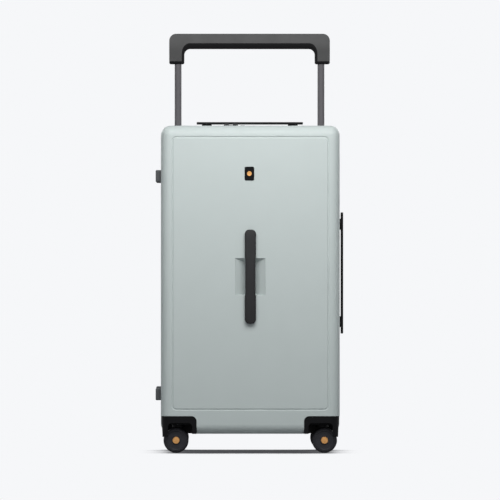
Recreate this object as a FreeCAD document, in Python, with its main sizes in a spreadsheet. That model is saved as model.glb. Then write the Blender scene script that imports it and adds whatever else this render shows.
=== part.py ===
import FreeCAD, Part
import Sketcher
import os

# A hard-sided trunk suitcase on four twin-wheel casters, closed by a zip, in millimetres.
# X runs to the right, the front faces -Y and Z is up.
# The origin is on the floor under the middle of the whole object.

doc = FreeCAD.newDocument("hard_sided_suitcase")
sheet = doc.addObject("Spreadsheet::Sheet", "Sizes")
sheet_rows = []
nodes = []


class Size:
    """A length, with the sheet expression that works it out."""

    def __init__(self, value, text):
        self.value = value
        self.text = text

    def __add__(self, other):
        other = as_size(other)
        return Size(self.value + other.value, f"({self.text} + {other.text})")

    def __sub__(self, other):
        other = as_size(other)
        return Size(self.value - other.value, f"({self.text} - {other.text})")

    def __mul__(self, other):
        other = as_size(other)
        return Size(self.value * other.value, f"({self.text} * {other.text})")

    def __truediv__(self, other):
        other = as_size(other)
        return Size(self.value / other.value, f"({self.text} / {other.text})")

    def __radd__(self, other):
        return as_size(other) + self

    def __rsub__(self, other):
        return as_size(other) - self

    def __rmul__(self, other):
        return as_size(other) * self

    def __neg__(self):
        return as_size(0) - self


def as_size(number):
    """A plain number as a Size."""
    if isinstance(number, Size):
        return number
    return Size(float(number), f"({float(number)!r})")


def size(alias, value):
    """Put one driving size in the sheet under its own alias."""
    sheet_rows.append(alias)
    cell = f"A{len(sheet_rows)}"
    sheet.set(cell, str(value))
    sheet.setAlias(cell, alias)
    return Size(float(value), f"Sizes.{alias}")


# Making and placing solids

TURN_TO = {
    "X": FreeCAD.Rotation(FreeCAD.Vector(0, 1, 0), 90),
    "Y": FreeCAD.Rotation(FreeCAD.Vector(1, 0, 0), -90),
    "Z": FreeCAD.Rotation(),
}
DIRECTION = {
    "X": FreeCAD.Vector(1, 0, 0),
    "Y": FreeCAD.Vector(0, 1, 0),
    "Z": FreeCAD.Vector(0, 0, 1),
}
NEAR = 0.01


def bind(item, setting, length):
    item.setExpression(setting, as_size(length).text)


def place(item, x, y, z, turn=FreeCAD.Rotation()):
    """Give an object its turn and tie its place to the sheet."""
    item.Placement = FreeCAD.Placement(FreeCAD.Vector(), turn)
    bind(item, "Placement.Base.x", x)
    bind(item, "Placement.Base.y", y)
    bind(item, "Placement.Base.z", z)
    return item


def span(one, other):
    """Two lengths as a low and a high end."""
    one = as_size(one)
    other = as_size(other)
    return (one, other) if one.value < other.value else (other, one)


def about(middle, length):
    return (middle - length / 2, middle + length / 2)


def grow(ends, by):
    return (ends[0] - by, ends[1] + by)


def block(name, x, y, z):
    """A box between two ends on each axis."""
    box = doc.addObject("Part::Box", name)
    bind(box, "Length", x[1] - x[0])
    bind(box, "Width", y[1] - y[0])
    bind(box, "Height", z[1] - z[0])
    return place(box, x[0], y[0], z[0])


def rod(name, axis, x, y, z, radius):
    """A cylinder along one axis: that axis has two ends, the others one middle."""
    ends = {"X": x, "Y": y, "Z": z}[axis]
    low = [value[0] if key == axis else value for key, value in zip("XYZ", (x, y, z))]
    cylinder = doc.addObject("Part::Cylinder", name)
    bind(cylinder, "Radius", radius)
    bind(cylinder, "Height", ends[1] - ends[0])
    return place(cylinder, *low, TURN_TO[axis])


def fuse(name, *pieces):
    result = doc.addObject("Part::MultiFuse", name)
    result.Shapes = list(pieces)
    result.Refine = True
    return result


def cut(name, base, *tools):
    result = doc.addObject("Part::Cut", name)
    result.Base = base
    result.Tool = tools[0] if len(tools) == 1 else fuse(name + "_tools", *tools)
    return result


def common(name, one, other):
    result = doc.addObject("Part::Common", name)
    result.Base = one
    result.Tool = other
    return result


def group(name, *pieces):
    """Separate solids that share one node."""
    result = doc.addObject("Part::Compound", name)
    result.Links = list(pieces)
    return result


def rounded(name, base, radius, choose):
    """Round the edges of a solid that choose picks."""
    doc.recompute()
    reach = as_size(radius).value
    result = doc.addObject("Part::Fillet", name)
    result.Base = base
    picked = [number for number, edge in enumerate(base.Shape.Edges, 1) if choose(edge)]
    result.Edges = [(number, reach, reach) for number in picked]
    return result


def every_edge(edge):
    return True


def along(axis):
    """Choose the straight edges that run along one axis."""
    return lambda edge: edge.Curve.TypeId == "Part::GeomLine" and (
        edge.tangentAt(edge.FirstParameter).cross(DIRECTION[axis]).Length < NEAR
    )


def at(axis, value):
    """Choose the edges that lie in one plane across an axis."""
    place_in = {"X": 0, "Y": 1, "Z": 2}[axis]
    level = as_size(value).value
    return lambda edge: all(abs(vertex.Point[place_in] - level) < NEAR for vertex in edge.Vertexes)


def both(one, other):
    return lambda edge: one(edge) and other(edge)


def slab(name, x, y, z, axis, radius):
    """A box with its four edges along one axis rounded."""
    return rounded(name, block(name + "_block", x, y, z), radius, along(axis))


def turned(name, outline, rounding=None, round_at=None):
    """A body turned about Y: the outline's points are radius and distance along the axis."""
    body = doc.addObject("PartDesign::Body", name)
    plane = next(item for item in body.Origin.OriginFeatures if item.Role == "XY_Plane")
    sketch = body.newObject("Sketcher::SketchObject", name + "_outline")
    sketch.AttachmentSupport = [(plane, "")]
    sketch.MapMode = "FlatFace"
    points = [(as_size(radius), as_size(distance)) for radius, distance in outline]
    count = len(points)
    for number in range(count):
        ends = points[number], points[(number + 1) % count]
        vectors = [FreeCAD.Vector(radius.value, distance.value, 0) for radius, distance in ends]
        sketch.addGeometry(Part.LineSegment(*vectors))
    for number in range(count):
        sketch.addConstraint(Sketcher.Constraint("Coincident", number, 2, (number + 1) % count, 1))
    for number, point in enumerate(points):
        for kind, length, zero_axis in zip(("DistanceX", "DistanceY"), point, (-2, -1)):
            if length.value == 0:
                sketch.addConstraint(Sketcher.Constraint("PointOnObject", number, 1, zero_axis))
                continue
            rule = Sketcher.Constraint(kind, -1, 1, number, 1, length.value)
            index = sketch.addConstraint(rule)
            sketch.setExpression(f"Constraints[{index}]", length.text)
    revolution = body.newObject("PartDesign::Revolution", name + "_turn")
    revolution.Profile = sketch
    revolution.ReferenceAxis = (sketch, ["V_Axis"])
    revolution.Angle = 360
    if rounding is not None:
        doc.recompute()
        edges = enumerate(revolution.Shape.Edges, 1)
        wide = round_at.value - NEAR
        circles = [(number, edge.Curve) for number, edge in edges if hasattr(edge.Curve, "Radius")]
        fillet = body.newObject("PartDesign::Fillet", name + "_round")
        fillet.Base = (revolution, [f"Edge{number}" for number, curve in circles if curve.Radius > wide])
        bind(fillet, "Radius", rounding)
    return body


def node(item):
    """List an object as one named piece of the suitcase."""
    nodes.append(item)
    return item


# Overall sizes and the planes that every piece is placed from

shell_width = size("shell_width", 410)
shell_height = size("shell_height", 706)
shell_depth = size("shell_depth", 372)
shell_wall = size("shell_wall", 2)
shell_radius = size("shell_radius", 22)
ground_gap = size("ground_gap", 44)
zip_band = size("zip_band", 22)
foot_height = size("foot_height", 12)
front_grip_out = size("front_grip_out", 12)
handle_gap = size("handle_gap", 4.5)
handle_thickness = size("handle_thickness", 6.6)
fit_gap = size("fit_gap", 0.3)
seat_gap = size("seat_gap", 0.02)
running_gap = size("running_gap", 0.05)
cut_over = size("cut_over", 1)

handle_rise = handle_gap + handle_thickness
centre_x = (foot_height - handle_rise) / 2
case_x = about(centre_x, shell_width)
left_x, right_x = case_x
front_y = (front_grip_out - shell_depth) / 2
rear_y = front_y + shell_depth
case_y = (front_y, rear_y)
base_z = ground_gap
top_z = ground_gap + shell_height
case_z = (base_z, top_z)
middle_z = (base_z + top_z) / 2

# Casters and their housings, which set how deep the lid is

wheel_radius = size("wheel_radius", 28.8)
wheel_width = size("wheel_width", 12)
wheel_parting = size("wheel_parting", 5)
wheel_side_margin = size("wheel_side_margin", 6)
caster_trail = size("caster_trail", 5.5)
bay_gap = size("bay_gap", 1.3)
crown_gap = size("crown_gap", 1.4)
fork_disc_height = size("fork_disc_height", 5)
fork_disc_gap = size("fork_disc_gap", 0.5)
housing_wall = size("housing_wall", 6.1)
housing_crown = size("housing_crown", 20.5)
housing_radius = size("housing_radius", 12)
housing_inset = size("housing_inset", 1)
flange_reach = size("flange_reach", 10)
flange_wall = size("flange_wall", 2.5)
tape_overlap = size("tape_overlap", 8)
lid_spare = size("lid_spare", 1)

wheel_from_side = wheel_radius + wheel_side_margin
swivel_from_side = wheel_from_side + caster_trail
bay_radius = caster_trail + wheel_radius + bay_gap
disc_low = 2 * wheel_radius + crown_gap
ceiling_z = disc_low + fork_disc_height + fork_disc_gap
housing_width = swivel_from_side + bay_radius + housing_wall
housing_depth = housing_width
housing_height = ceiling_z + housing_crown - base_z
tape_reach = zip_band / 2 + tape_overlap
split_y = front_y + housing_depth + flange_reach + lid_spare + tape_reach
lid_rim_y = split_y - zip_band / 2
rear_rim_y = split_y + zip_band / 2

# Places and outer sizes that cut-outs in the shells share with the pieces in them

scoop_width = size("scoop_width", 68.6)
scoop_height = size("scoop_height", 84.7)
scoop_depth = size("scoop_depth", 18)
scoop_floor_width = size("scoop_floor_width", 16)
scoop_top_slope = size("scoop_top_slope", 12)
scoop_bottom_slope = size("scoop_bottom_slope", 2.8)
front_grip_above_middle = size("front_grip_above_middle", 7)
handle_from_rear = size("handle_from_rear", 154)
top_post_spacing = size("top_post_spacing", 199)
side_post_spacing = size("side_post_spacing", 225.6)
side_handle_above_middle = size("side_handle_above_middle", 15)
sleeve_length = size("sleeve_length", 21)
sleeve_width = size("sleeve_width", 19)
sleeve_depth = size("sleeve_depth", 40)
lock_left = size("lock_left", 44)
lock_from_split = size("lock_from_split", 40)
lock_length = size("lock_length", 74)
lock_width = size("lock_width", 28)
lock_depth = size("lock_depth", 20)
tube_in_leg = size("tube_in_leg", 20.6)
tube_from_rear = size("tube_from_rear", 42)
trolley_from_side = size("trolley_from_side", 18)
trolley_leg_width = size("trolley_leg_width", 35)
trolley_thickness = size("trolley_thickness", 30)
leg_gap = size("leg_gap", 1.5)
well_wall = size("well_wall", 2)
well_depth = size("well_depth", 24)
well_floor = size("well_floor", 3)
foot_length = size("foot_length", 40)
foot_width = size("foot_width", 28)
foot_radius = size("foot_radius", 4)
upper_foot_from_top = size("upper_foot_from_top", 115.3)
lower_foot_from_base = size("lower_foot_from_base", 91.3)
lid_foot_from_front = size("lid_foot_from_front", 50)
rear_foot_from_rear = size("rear_foot_from_rear", 72)
screw_radius = size("screw_radius", 2.2)
screw_head_radius = size("screw_head_radius", 4.5)
screw_head_height = size("screw_head_height", 2.2)
screw_grip = size("screw_grip", 7.5)
front_grip_length = size("front_grip_length", 216)
front_grip_width = size("front_grip_width", 25.7)
front_grip_bolt_spacing = size("front_grip_bolt_spacing", 180)

front_grip_height = middle_z + front_grip_above_middle
side_handle_height = middle_z + side_handle_above_middle
handle_y = rear_y - handle_from_rear
lock_x = centre_x - lock_left
lock_y = split_y + lock_from_split
tube_y = rear_y - tube_from_rear
trolley_width = shell_width - 2 * trolley_from_side
tube_spacing = trolley_width - 2 * tube_in_leg
screw_hole = screw_radius + seat_gap
inner_left_x = left_x + shell_wall
inner_right_x = right_x - shell_wall

# Left and right, front and rear: the outer face and the way inwards
SIDES = {"left": (left_x, 1), "right": (right_x, -1)}
ENDS = {"front": (front_y, 1), "rear": (rear_y, -1)}


def inwards(face, distance):
    """A place at a distance inwards from an outer face."""
    return face[0] + face[1] * distance


def corner_box(side, end, gap):
    """The three spans of a lower corner of the case, up to a gap inside its inner faces."""
    out = -shell_radius
    x = span(inwards(SIDES[side], out), inwards(SIDES[side], housing_width - gap))
    y = span(inwards(ENDS[end], out), inwards(ENDS[end], housing_depth - gap))
    z = (base_z - shell_radius, base_z + housing_height - gap)
    return x, y, z


def corner_cutter(side, end):
    """What is cut out of a shell for one wheel housing, round at its inner top corner."""
    x, y, z = corner_box(side, end, as_size(0))
    return slab(f"{end}_{side}_corner_cut", x, y, z, "Y", housing_radius)


def sleeve_spans(handle, sign, gap):
    """The three spans of one carry-handle sleeve, grown by a gap."""
    across = grow(about(handle_y, sleeve_width), gap)
    if handle == "top":
        along_bar = about(centre_x + sign * top_post_spacing / 2, sleeve_length)
        return grow(along_bar, gap), across, (top_z - sleeve_depth - gap, top_z)
    along_bar = about(side_handle_height + sign * side_post_spacing / 2, sleeve_length)
    return (right_x - sleeve_depth - gap, right_x), across, grow(along_bar, gap)


def well_spans(sign, gap):
    """The three spans of one trolley-leg well, grown by a gap."""
    leg_x = centre_x + sign * (trolley_width - trolley_leg_width) / 2
    x = about(leg_x, trolley_leg_width + 2 * (leg_gap + well_wall))
    y = about(tube_y, trolley_thickness + 2 * (leg_gap + well_wall))
    return grow(x, gap), grow(y, gap), (top_z - well_depth - well_floor - gap, top_z + cut_over)


def foot_places(part):
    """The middle of each side foot along Y and Z."""
    y = front_y + lid_foot_from_front if part == "lid" else rear_y - rear_foot_from_rear
    return [(y, top_z - upper_foot_from_top), (y, base_z + lower_foot_from_base)]


def foot_screw_holes(part):
    ends = (left_x - cut_over, inner_left_x + cut_over)
    return [rod(f"{part}_foot_hole", "X", ends, y, z, screw_hole) for y, z in foot_places(part)]


# Both shells: one thin rounded box, parted at the zip

outer_form = rounded("outer_form", block("outer_block", case_x, case_y, case_z), shell_radius, every_edge)
inner_block = block("inner_block", *[grow(ends, -shell_wall) for ends in (case_x, case_y, case_z)])
inner_form = rounded("inner_form", inner_block, shell_radius - shell_wall, every_edge)
thin_box = cut("thin_box", outer_form, inner_form)
beyond_x = grow(case_x, cut_over)
beyond_z = grow(case_z, cut_over)
lid_space = block("lid_space", beyond_x, (front_y - cut_over, lid_rim_y), beyond_z)
rear_space = block("rear_space", beyond_x, (rear_rim_y, rear_y + cut_over), beyond_z)

# The framed panel pressed into the front and the back

groove_side = size("groove_side", 26.5)
groove_top = size("groove_top", 25)
groove_bottom = size("groove_bottom", 55.6)
groove_width = size("groove_width", 4)
groove_depth = size("groove_depth", 1)
groove_radius = size("groove_radius", 10)


def panel_groove(end):
    """A shallow ring cut round the panel of the front or the back."""
    x = grow(case_x, -groove_side)
    z = (base_z + groove_bottom, top_z - groove_top)
    y = span(inwards(ENDS[end], -cut_over), inwards(ENDS[end], groove_depth))
    half = groove_width / 2
    wide = slab(end + "_groove_outside", grow(x, half), y, grow(z, half), "Y", groove_radius + half)
    y_over = grow(y, cut_over)
    narrow = slab(end + "_groove_inside", grow(x, -half), y_over, grow(z, -half), "Y", groove_radius - half)
    return cut(end + "_groove", wide, narrow)


def scoop_wedge(name, wall):
    """The finger scoop: wide at the face and narrow at its floor, seen from the front."""
    wedge = doc.addObject("Part::Wedge", name)
    half = scoop_width / 2 + wall
    floor_half = scoop_floor_width / 2 + wall
    low = front_grip_height - scoop_height / 2 - wall
    high = front_grip_height + scoop_height / 2 + wall
    bind(wedge, "Xmin", centre_x - half)
    bind(wedge, "Xmax", centre_x + half)
    bind(wedge, "X2min", centre_x - floor_half)
    bind(wedge, "X2max", centre_x + floor_half)
    bind(wedge, "Ymin", front_y)
    bind(wedge, "Ymax", front_y + scoop_depth + wall)
    bind(wedge, "Zmin", low)
    bind(wedge, "Zmax", high)
    bind(wedge, "Z2min", low + scoop_bottom_slope)
    bind(wedge, "Z2max", high - scoop_top_slope)
    return wedge


def grip_bolt_places():
    half = front_grip_bolt_spacing / 2
    return [front_grip_height - half, front_grip_height + half]


# Front shell, which is the lid

lid_skin = common("lid_skin", thin_box, lid_space)
lid_dished = fuse("lid_dished", lid_skin, scoop_wedge("scoop_outside", shell_wall))
lid_cutters = [corner_cutter(side, "front") for side in SIDES]
lid_cutters += foot_screw_holes("lid")
through_front = (front_y - cut_over, front_y + shell_wall + cut_over)
for height in grip_bolt_places():
    lid_cutters.append(rod("grip_bolt_hole", "Y", centre_x, through_front, height, screw_hole))
lid_cutters.append(scoop_wedge("scoop_inside", as_size(0)))
lid_cutters.append(panel_groove("front"))
node(cut("front_shell", lid_dished, *lid_cutters))

# Rear shell

rear_skin = common("rear_skin", thin_box, rear_space)
rear_cutters = [corner_cutter(side, "rear") for side in SIDES]
rear_cutters += foot_screw_holes("rear")
for handle in ("top", "side"):
    for sign in (-1, 1):
        x, y, z = sleeve_spans(handle, sign, seat_gap)
        if handle == "top":
            z = grow(z, cut_over)
        else:
            x = grow(x, cut_over)
        rear_cutters.append(block(handle + "_sleeve_cut", x, y, z))
for sign in (-1, 1):
    rear_cutters.append(block("well_cut", *well_spans(sign, seat_gap)))
lock_cut_z = (top_z - lock_depth, top_z + cut_over)
lock_opening = [grow(about(lock_x, lock_length), seat_gap), grow(about(lock_y, lock_width), seat_gap)]
rear_cutters.append(block("lock_cut", *lock_opening, lock_cut_z))
rear_cutters.append(panel_groove("rear"))
node(cut("rear_shell", rear_skin, *rear_cutters))

# Zip tapes: a sewn-in band in each half, with its row of zip teeth as a ridge at the split

tape_thickness = size("tape_thickness", 3)
tape_gap = size("tape_gap", 0.4)
chain_width = size("chain_width", 2.8)
chain_rise = size("chain_rise", 1.5)


def ring(name, y, outer_inset, inner_inset):
    """A band that follows the case's outline between two insets from its outside."""
    outer = [grow(case_x, -outer_inset), y, grow(case_z, -outer_inset)]
    inner = [grow(case_x, -inner_inset), grow(y, cut_over), grow(case_z, -inner_inset)]
    outside = slab(name + "_outside", *outer, "Y", shell_radius - outer_inset)
    inside = slab(name + "_inside", *inner, "Y", shell_radius - inner_inset)
    return cut(name, outside, inside)


def zip_tape(name, way):
    near = split_y + way * tape_gap / 2
    far = split_y + way * tape_reach
    tooth = near + way * chain_width
    band = ring(name + "_band", span(near, far), shell_wall, shell_wall + tape_thickness)
    chain = ring(name + "_chain", span(near, tooth), shell_wall - chain_rise, shell_wall + tape_thickness)
    return fuse(name, band, chain)


node(zip_tape("lid_zipper_tape", -1))
node(zip_tape("rear_zipper_tape", 1))
chain_top_z = top_z - shell_wall + chain_rise

# Fabric hinge behind the tapes on the left

hinge_thickness = size("hinge_thickness", 1.2)
hinge_end_gap = size("hinge_end_gap", 60)
hinge_x = left_x + shell_wall + tape_thickness
hinge_spans = [(hinge_x, hinge_x + hinge_thickness), grow((split_y, split_y), tape_reach)]
node(block("hinge_tape", *hinge_spans, grow(case_z, -hinge_end_gap)))

# Casters: a housing in each lower corner, a fork on its kingpin and two wheels on one axle

arch_gap = size("arch_gap", 5.5)
fender_drop = size("fender_drop", 7)
fender_wall = size("fender_wall", 3)
fork_disc_radius = size("fork_disc_radius", 15)
fork_web_half = size("fork_web_half", 9)
axle_radius = size("axle_radius", 3)
kingpin_radius = size("kingpin_radius", 4)
pin_head_radius = size("pin_head_radius", 7)
pin_head_height = size("pin_head_height", 2.5)
pin_recess_radius = size("pin_recess_radius", 8.5)
pin_recess_depth = size("pin_recess_depth", 6)
tyre_depth = size("tyre_depth", 4.8)
tyre_round = size("tyre_round", 4)
hub_inset = size("hub_inset", 0.5)
hub_rim = size("hub_rim", 2)
hub_dish = size("hub_dish", 1)
cap_radius = size("cap_radius", 8)
cap_height = size("cap_height", 2)
cap_bevel = size("cap_bevel", 0.6)

housing_top = base_z + housing_height - fit_gap
recess_floor = housing_top - pin_recess_depth
hub_radius = wheel_radius - tyre_depth - seat_gap
cap_floor = wheel_width - hub_inset - hub_dish - cap_height / 2
axle_half = wheel_parting / 2 + cap_floor - fit_gap


def caster_housing(name, side, end):
    """A corner block with a round bay for the wheels, an arch in its outer face and an outer fender."""
    flank = SIDES[side]
    face = ENDS[end]
    x = span(inwards(flank, housing_inset), inwards(flank, housing_width - fit_gap))
    y = span(inwards(face, housing_inset), inwards(face, housing_depth - fit_gap))
    blank = block(name + "_blank", x, y, (base_z, housing_top))
    outer_edge = both(at("X", inwards(flank, housing_inset)), at("Y", inwards(face, housing_inset)))
    eased = rounded(name + "_eased", blank, shell_radius - housing_inset, outer_edge)
    top_edge = both(at("X", inwards(flank, housing_width - fit_gap)), at("Z", housing_top))
    eased = rounded(name + "_corner", eased, housing_radius - fit_gap, top_edge)
    fender_x = span(inwards(flank, housing_inset), inwards(flank, housing_inset + fender_wall))
    fender_y = span(inwards(face, shell_radius), inwards(face, housing_depth - fit_gap))
    fender = block(name + "_fender", fender_x, fender_y, (base_z - fender_drop, base_z + cut_over))
    flat_from = shell_radius + flange_wall
    flange_z = (base_z + flat_from, base_z + housing_height + flange_reach)
    flange_in = (shell_wall, shell_wall + flange_wall)
    flange_along = (flat_from, housing_width + flange_reach)
    flange_behind = (flat_from, housing_depth + flange_reach)
    face_x = span(*[inwards(flank, distance) for distance in flange_along])
    face_y = span(*[inwards(face, distance) for distance in flange_in])
    flank_x = span(*[inwards(flank, distance) for distance in flange_in])
    flank_y = span(*[inwards(face, distance) for distance in flange_behind])
    face_flange = block(name + "_face_flange", face_x, face_y, flange_z)
    flank_flange = block(name + "_flank_flange", flank_x, flank_y, flange_z)
    solid = fuse(name + "_solid", eased, fender, face_flange, flank_flange)
    swivel_x = inwards(flank, swivel_from_side)
    swivel_y = inwards(face, swivel_from_side)
    bay_z = (base_z - fender_drop - cut_over, ceiling_z)
    bay = rod(name + "_bay", "Z", swivel_x, swivel_y, bay_z, bay_radius)
    arch_y = span(inwards(face, -cut_over), swivel_y)
    arch_x = inwards(flank, wheel_from_side)
    arch = rod(name + "_arch", "Y", arch_x, arch_y, wheel_radius, wheel_radius + arch_gap)
    bore_z = (ceiling_z - cut_over, housing_top + cut_over)
    bore = rod(name + "_bore", "Z", swivel_x, swivel_y, bore_z, kingpin_radius + running_gap)
    recess_z = (recess_floor, housing_top + cut_over)
    recess = rod(name + "_recess", "Z", swivel_x, swivel_y, recess_z, pin_recess_radius)
    return cut(name, solid, bay, arch, bore, recess)


def caster_fork(name, wheel_x, swivel_x, swivel_y):
    """A crown disc under the bay's ceiling and a web that hangs between the wheels."""
    disc_z = (disc_low, disc_low + fork_disc_height)
    disc = rod(name + "_disc", "Z", swivel_x, swivel_y, disc_z, fork_disc_radius)
    web_y = about(swivel_y, wheel_parting - 2 * fit_gap)
    boss = rod(name + "_boss", "Y", wheel_x, web_y, wheel_radius, fork_web_half)
    web_x = grow(span(wheel_x, swivel_x), fork_web_half)
    web = block(name + "_web", web_x, web_y, (wheel_radius, disc_low + cut_over))
    solid = fuse(name + "_solid", disc, boss, web)
    hole_y = grow(web_y, cut_over)
    axle_hole = rod(name + "_axle_hole", "Y", wheel_x, hole_y, wheel_radius, axle_radius + seat_gap)
    pin_z = (disc_low + cut_over, ceiling_z)
    pin_hole = rod(name + "_pin_hole", "Z", swivel_x, swivel_y, pin_z, kingpin_radius + seat_gap)
    return cut(name, solid, axle_hole, pin_hole)


def caster_pins(name, wheel_x, swivel_x, swivel_y):
    """The headed kingpin and the axle, both fixed in the fork."""
    head_low = recess_floor + fit_gap
    shank_z = (disc_low + cut_over, head_low)
    shank = rod(name + "_shank", "Z", swivel_x, swivel_y, shank_z, kingpin_radius)
    head_z = (head_low, head_low + pin_head_height)
    head = rod(name + "_head", "Z", swivel_x, swivel_y, head_z, pin_head_radius)
    kingpin = fuse(name + "_kingpin", shank, head)
    axle = rod(name + "_axle", "Y", wheel_x, grow((swivel_y, swivel_y), axle_half), wheel_radius, axle_radius)
    return group(name, kingpin, axle)


def caster_wheel(name, wheel_x, swivel_y, way):
    """A tyre on a dished hub with a plain cap over the axle's end."""
    bore = axle_radius + running_gap
    rim = wheel_width - hub_inset
    dish = rim - hub_dish
    tyre_edge = [(wheel_radius - tyre_depth, 0), (wheel_radius, 0)]
    tyre_far = [(wheel_radius, wheel_width), (wheel_radius - tyre_depth, wheel_width)]
    tyre = turned(name + "_tyre", tyre_edge + tyre_far, tyre_round, wheel_radius)
    hub_back = [(bore, 0), (hub_radius, 0), (hub_radius, rim), (hub_radius - hub_rim, rim)]
    hub_face = [(hub_radius - hub_rim - hub_dish, dish), (cap_radius, dish), (cap_radius, cap_floor)]
    hub = turned(name + "_hub", hub_back + hub_face + [(bore, cap_floor)])
    cap_edge = cap_radius - seat_gap
    cap_top = cap_floor + cap_height
    cap_foot = [(0, cap_floor), (cap_edge, cap_floor), (cap_edge, cap_top - cap_bevel)]
    cap = turned(name + "_cap", cap_foot + [(cap_edge - cap_bevel, cap_top), (0, cap_top)])
    wheel = group(name, tyre, hub, cap)
    facing = FreeCAD.Rotation(DIRECTION["Z"], 180 if way < 0 else 0)
    return place(wheel, wheel_x, swivel_y + way * wheel_parting / 2, wheel_radius, facing)


for end in ENDS:
    for side in SIDES:
        name = f"{end}_{side}"
        wheel_x = inwards(SIDES[side], wheel_from_side)
        swivel_x = inwards(SIDES[side], swivel_from_side)
        swivel_y = inwards(ENDS[end], swivel_from_side)
        node(caster_housing(name + "_wheel_housing", side, end))
        node(caster_fork(name + "_caster_fork", wheel_x, swivel_x, swivel_y))
        node(caster_pins(name + "_caster_pins", wheel_x, swivel_x, swivel_y))
        node(caster_wheel(name + "_wheel_a", wheel_x, swivel_y, -1))
        node(caster_wheel(name + "_wheel_b", wheel_x, swivel_y, 1))

# Front grip over the scoop, and the plain badge plate above it

front_grip_waist = size("front_grip_waist", 22.8)
front_grip_radius = size("front_grip_radius", 8)
front_grip_round = size("front_grip_round", 4)
waist_over = size("waist_over", 4)
badge_width = size("badge_width", 22)
badge_height = size("badge_height", 31.5)
badge_thickness = size("badge_thickness", 1.2)
badge_radius = size("badge_radius", 3.4)
badge_from_top = size("badge_from_top", 110)
inlay_radius = size("inlay_radius", 5)
inlay_rise = size("inlay_rise", 0.4)

grip_y = (front_y - front_grip_out, front_y)
grip_z = about(front_grip_height, front_grip_length)
grip_bar = slab("grip_bar", about(centre_x, front_grip_width), grip_y, grip_z, "Y", front_grip_radius)
grip_soft = rounded("grip_soft", grip_bar, front_grip_round, at("Y", front_y - front_grip_out))
waist_z = grow(about(front_grip_height, scoop_height), waist_over)
grip_cutters = []
for sign in (-1, 1):
    waist_x = span(centre_x + sign * front_grip_waist / 2, centre_x + sign * front_grip_width)
    grip_cutters.append(block("grip_waist", waist_x, grow(grip_y, cut_over), waist_z))
for height in grip_bolt_places():
    hole_y = (front_y - screw_grip - fit_gap, front_y + cut_over)
    grip_cutters.append(rod("grip_hole", "Y", centre_x, hole_y, height, screw_hole))
node(cut("front_grip", grip_soft, *grip_cutters))

badge_z = about(top_z - badge_from_top, badge_height)
badge_y = (front_y - badge_thickness, front_y)
badge_back = slab("badge_back", about(centre_x, badge_width), badge_y, badge_z, "Y", badge_radius)
inlay_y = (front_y - badge_thickness - inlay_rise, front_y - badge_thickness)
badge_inlay = rod("badge_inlay", "Y", centre_x, inlay_y, top_z - badge_from_top, inlay_radius)
node(group("badge_plate", badge_back, badge_inlay))

# Side feet on the left, and the screws that hold them and the front grip

foot_drill = screw_grip + fit_gap


def side_feet(name, part):
    pieces = []
    for y, z in foot_places(part):
        spans = [(left_x - foot_height, left_x), about(y, foot_length), about(z, foot_width)]
        pad = slab(name + "_pad", *spans, "X", foot_radius)
        soft = rounded(name + "_soft", pad, foot_radius / 2, at("X", left_x - foot_height))
        hole = rod(name + "_hole", "X", (left_x - foot_drill, left_x + cut_over), y, z, screw_hole)
        pieces.append(cut(name + "_foot", soft, hole))
    return group(name, *pieces)


def foot_screws(name, part):
    pieces = []
    for y, z in foot_places(part):
        shank = rod(name + "_shank", "X", (left_x - screw_grip, inner_left_x), y, z, screw_radius)
        head_x = (inner_left_x, inner_left_x + screw_head_height)
        head = rod(name + "_head", "X", head_x, y, z, screw_head_radius)
        pieces.append(fuse(name + "_foot_screw", shank, head))
    return pieces


node(side_feet("lid_feet", "lid"))
node(side_feet("rear_feet", "rear"))
grip_screws = []
inner_front_y = front_y + shell_wall
for height in grip_bolt_places():
    shank = rod("grip_shank", "Y", centre_x, (front_y - screw_grip, inner_front_y), height, screw_radius)
    head_y = (inner_front_y, inner_front_y + screw_head_height)
    head = rod("grip_head", "Y", centre_x, head_y, height, screw_head_radius)
    grip_screws.append(fuse("grip_screw", shank, head))
node(group("lid_screws", *grip_screws, *foot_screws("lid_screws", "lid")))
node(group("rear_screws", *foot_screws("rear_screws", "rear")))

# Trolley: wells, three nested pairs of tubes, grip, release button and its rods

inner_tube_width = size("inner_tube_width", 16)
inner_tube_depth = size("inner_tube_depth", 22)
inner_tube_radius = size("inner_tube_radius", 7)
tube_wall = size("tube_wall", 1.2)
inner_tube_above_shoe = size("inner_tube_above_shoe", 195.3)
middle_tube_above_shoe = size("middle_tube_above_shoe", 70.3)
tube_below_well = size("tube_below_well", 1)
trolley_out = size("trolley_out", 145.4)
trolley_height = size("trolley_height", 73.2)
trolley_bar_height = size("trolley_bar_height", 36.6)
trolley_outer_radius = size("trolley_outer_radius", 16)
trolley_inner_radius = size("trolley_inner_radius", 14)
trolley_leg_radius = size("trolley_leg_radius", 4)
trolley_round = size("trolley_round", 5)
socket_depth = size("socket_depth", 29.6)
shoe_floor = size("shoe_floor", 10)
shoe_height = size("shoe_height", 25)
shoe_wall = size("shoe_wall", 5)
button_length = size("button_length", 58)
button_width = size("button_width", 14)
button_height = size("button_height", 6)
button_travel = size("button_travel", 5)
button_radius = size("button_radius", 6)
stem_length = size("stem_length", 20)
stem_width = size("stem_width", 8)
yoke_height = size("yoke_height", 7)
yoke_floor = size("yoke_floor", 5)
rod_radius = size("rod_radius", 2)
rod_above_end = size("rod_above_end", 30)
slide_gap = size("slide_gap", 0.5)

stage_step = 2 * (fit_gap + tube_wall)
leg_bottom = top_z + trolley_out
grip_top = leg_bottom + trolley_height
bar_under = grip_top - trolley_bar_height
well_floor_top = top_z - well_depth
well_under = well_floor_top - well_floor
TUBE_SIDES = (-1, 1)


def tube_x(sign):
    return centre_x + sign * tube_spacing / 2


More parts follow.
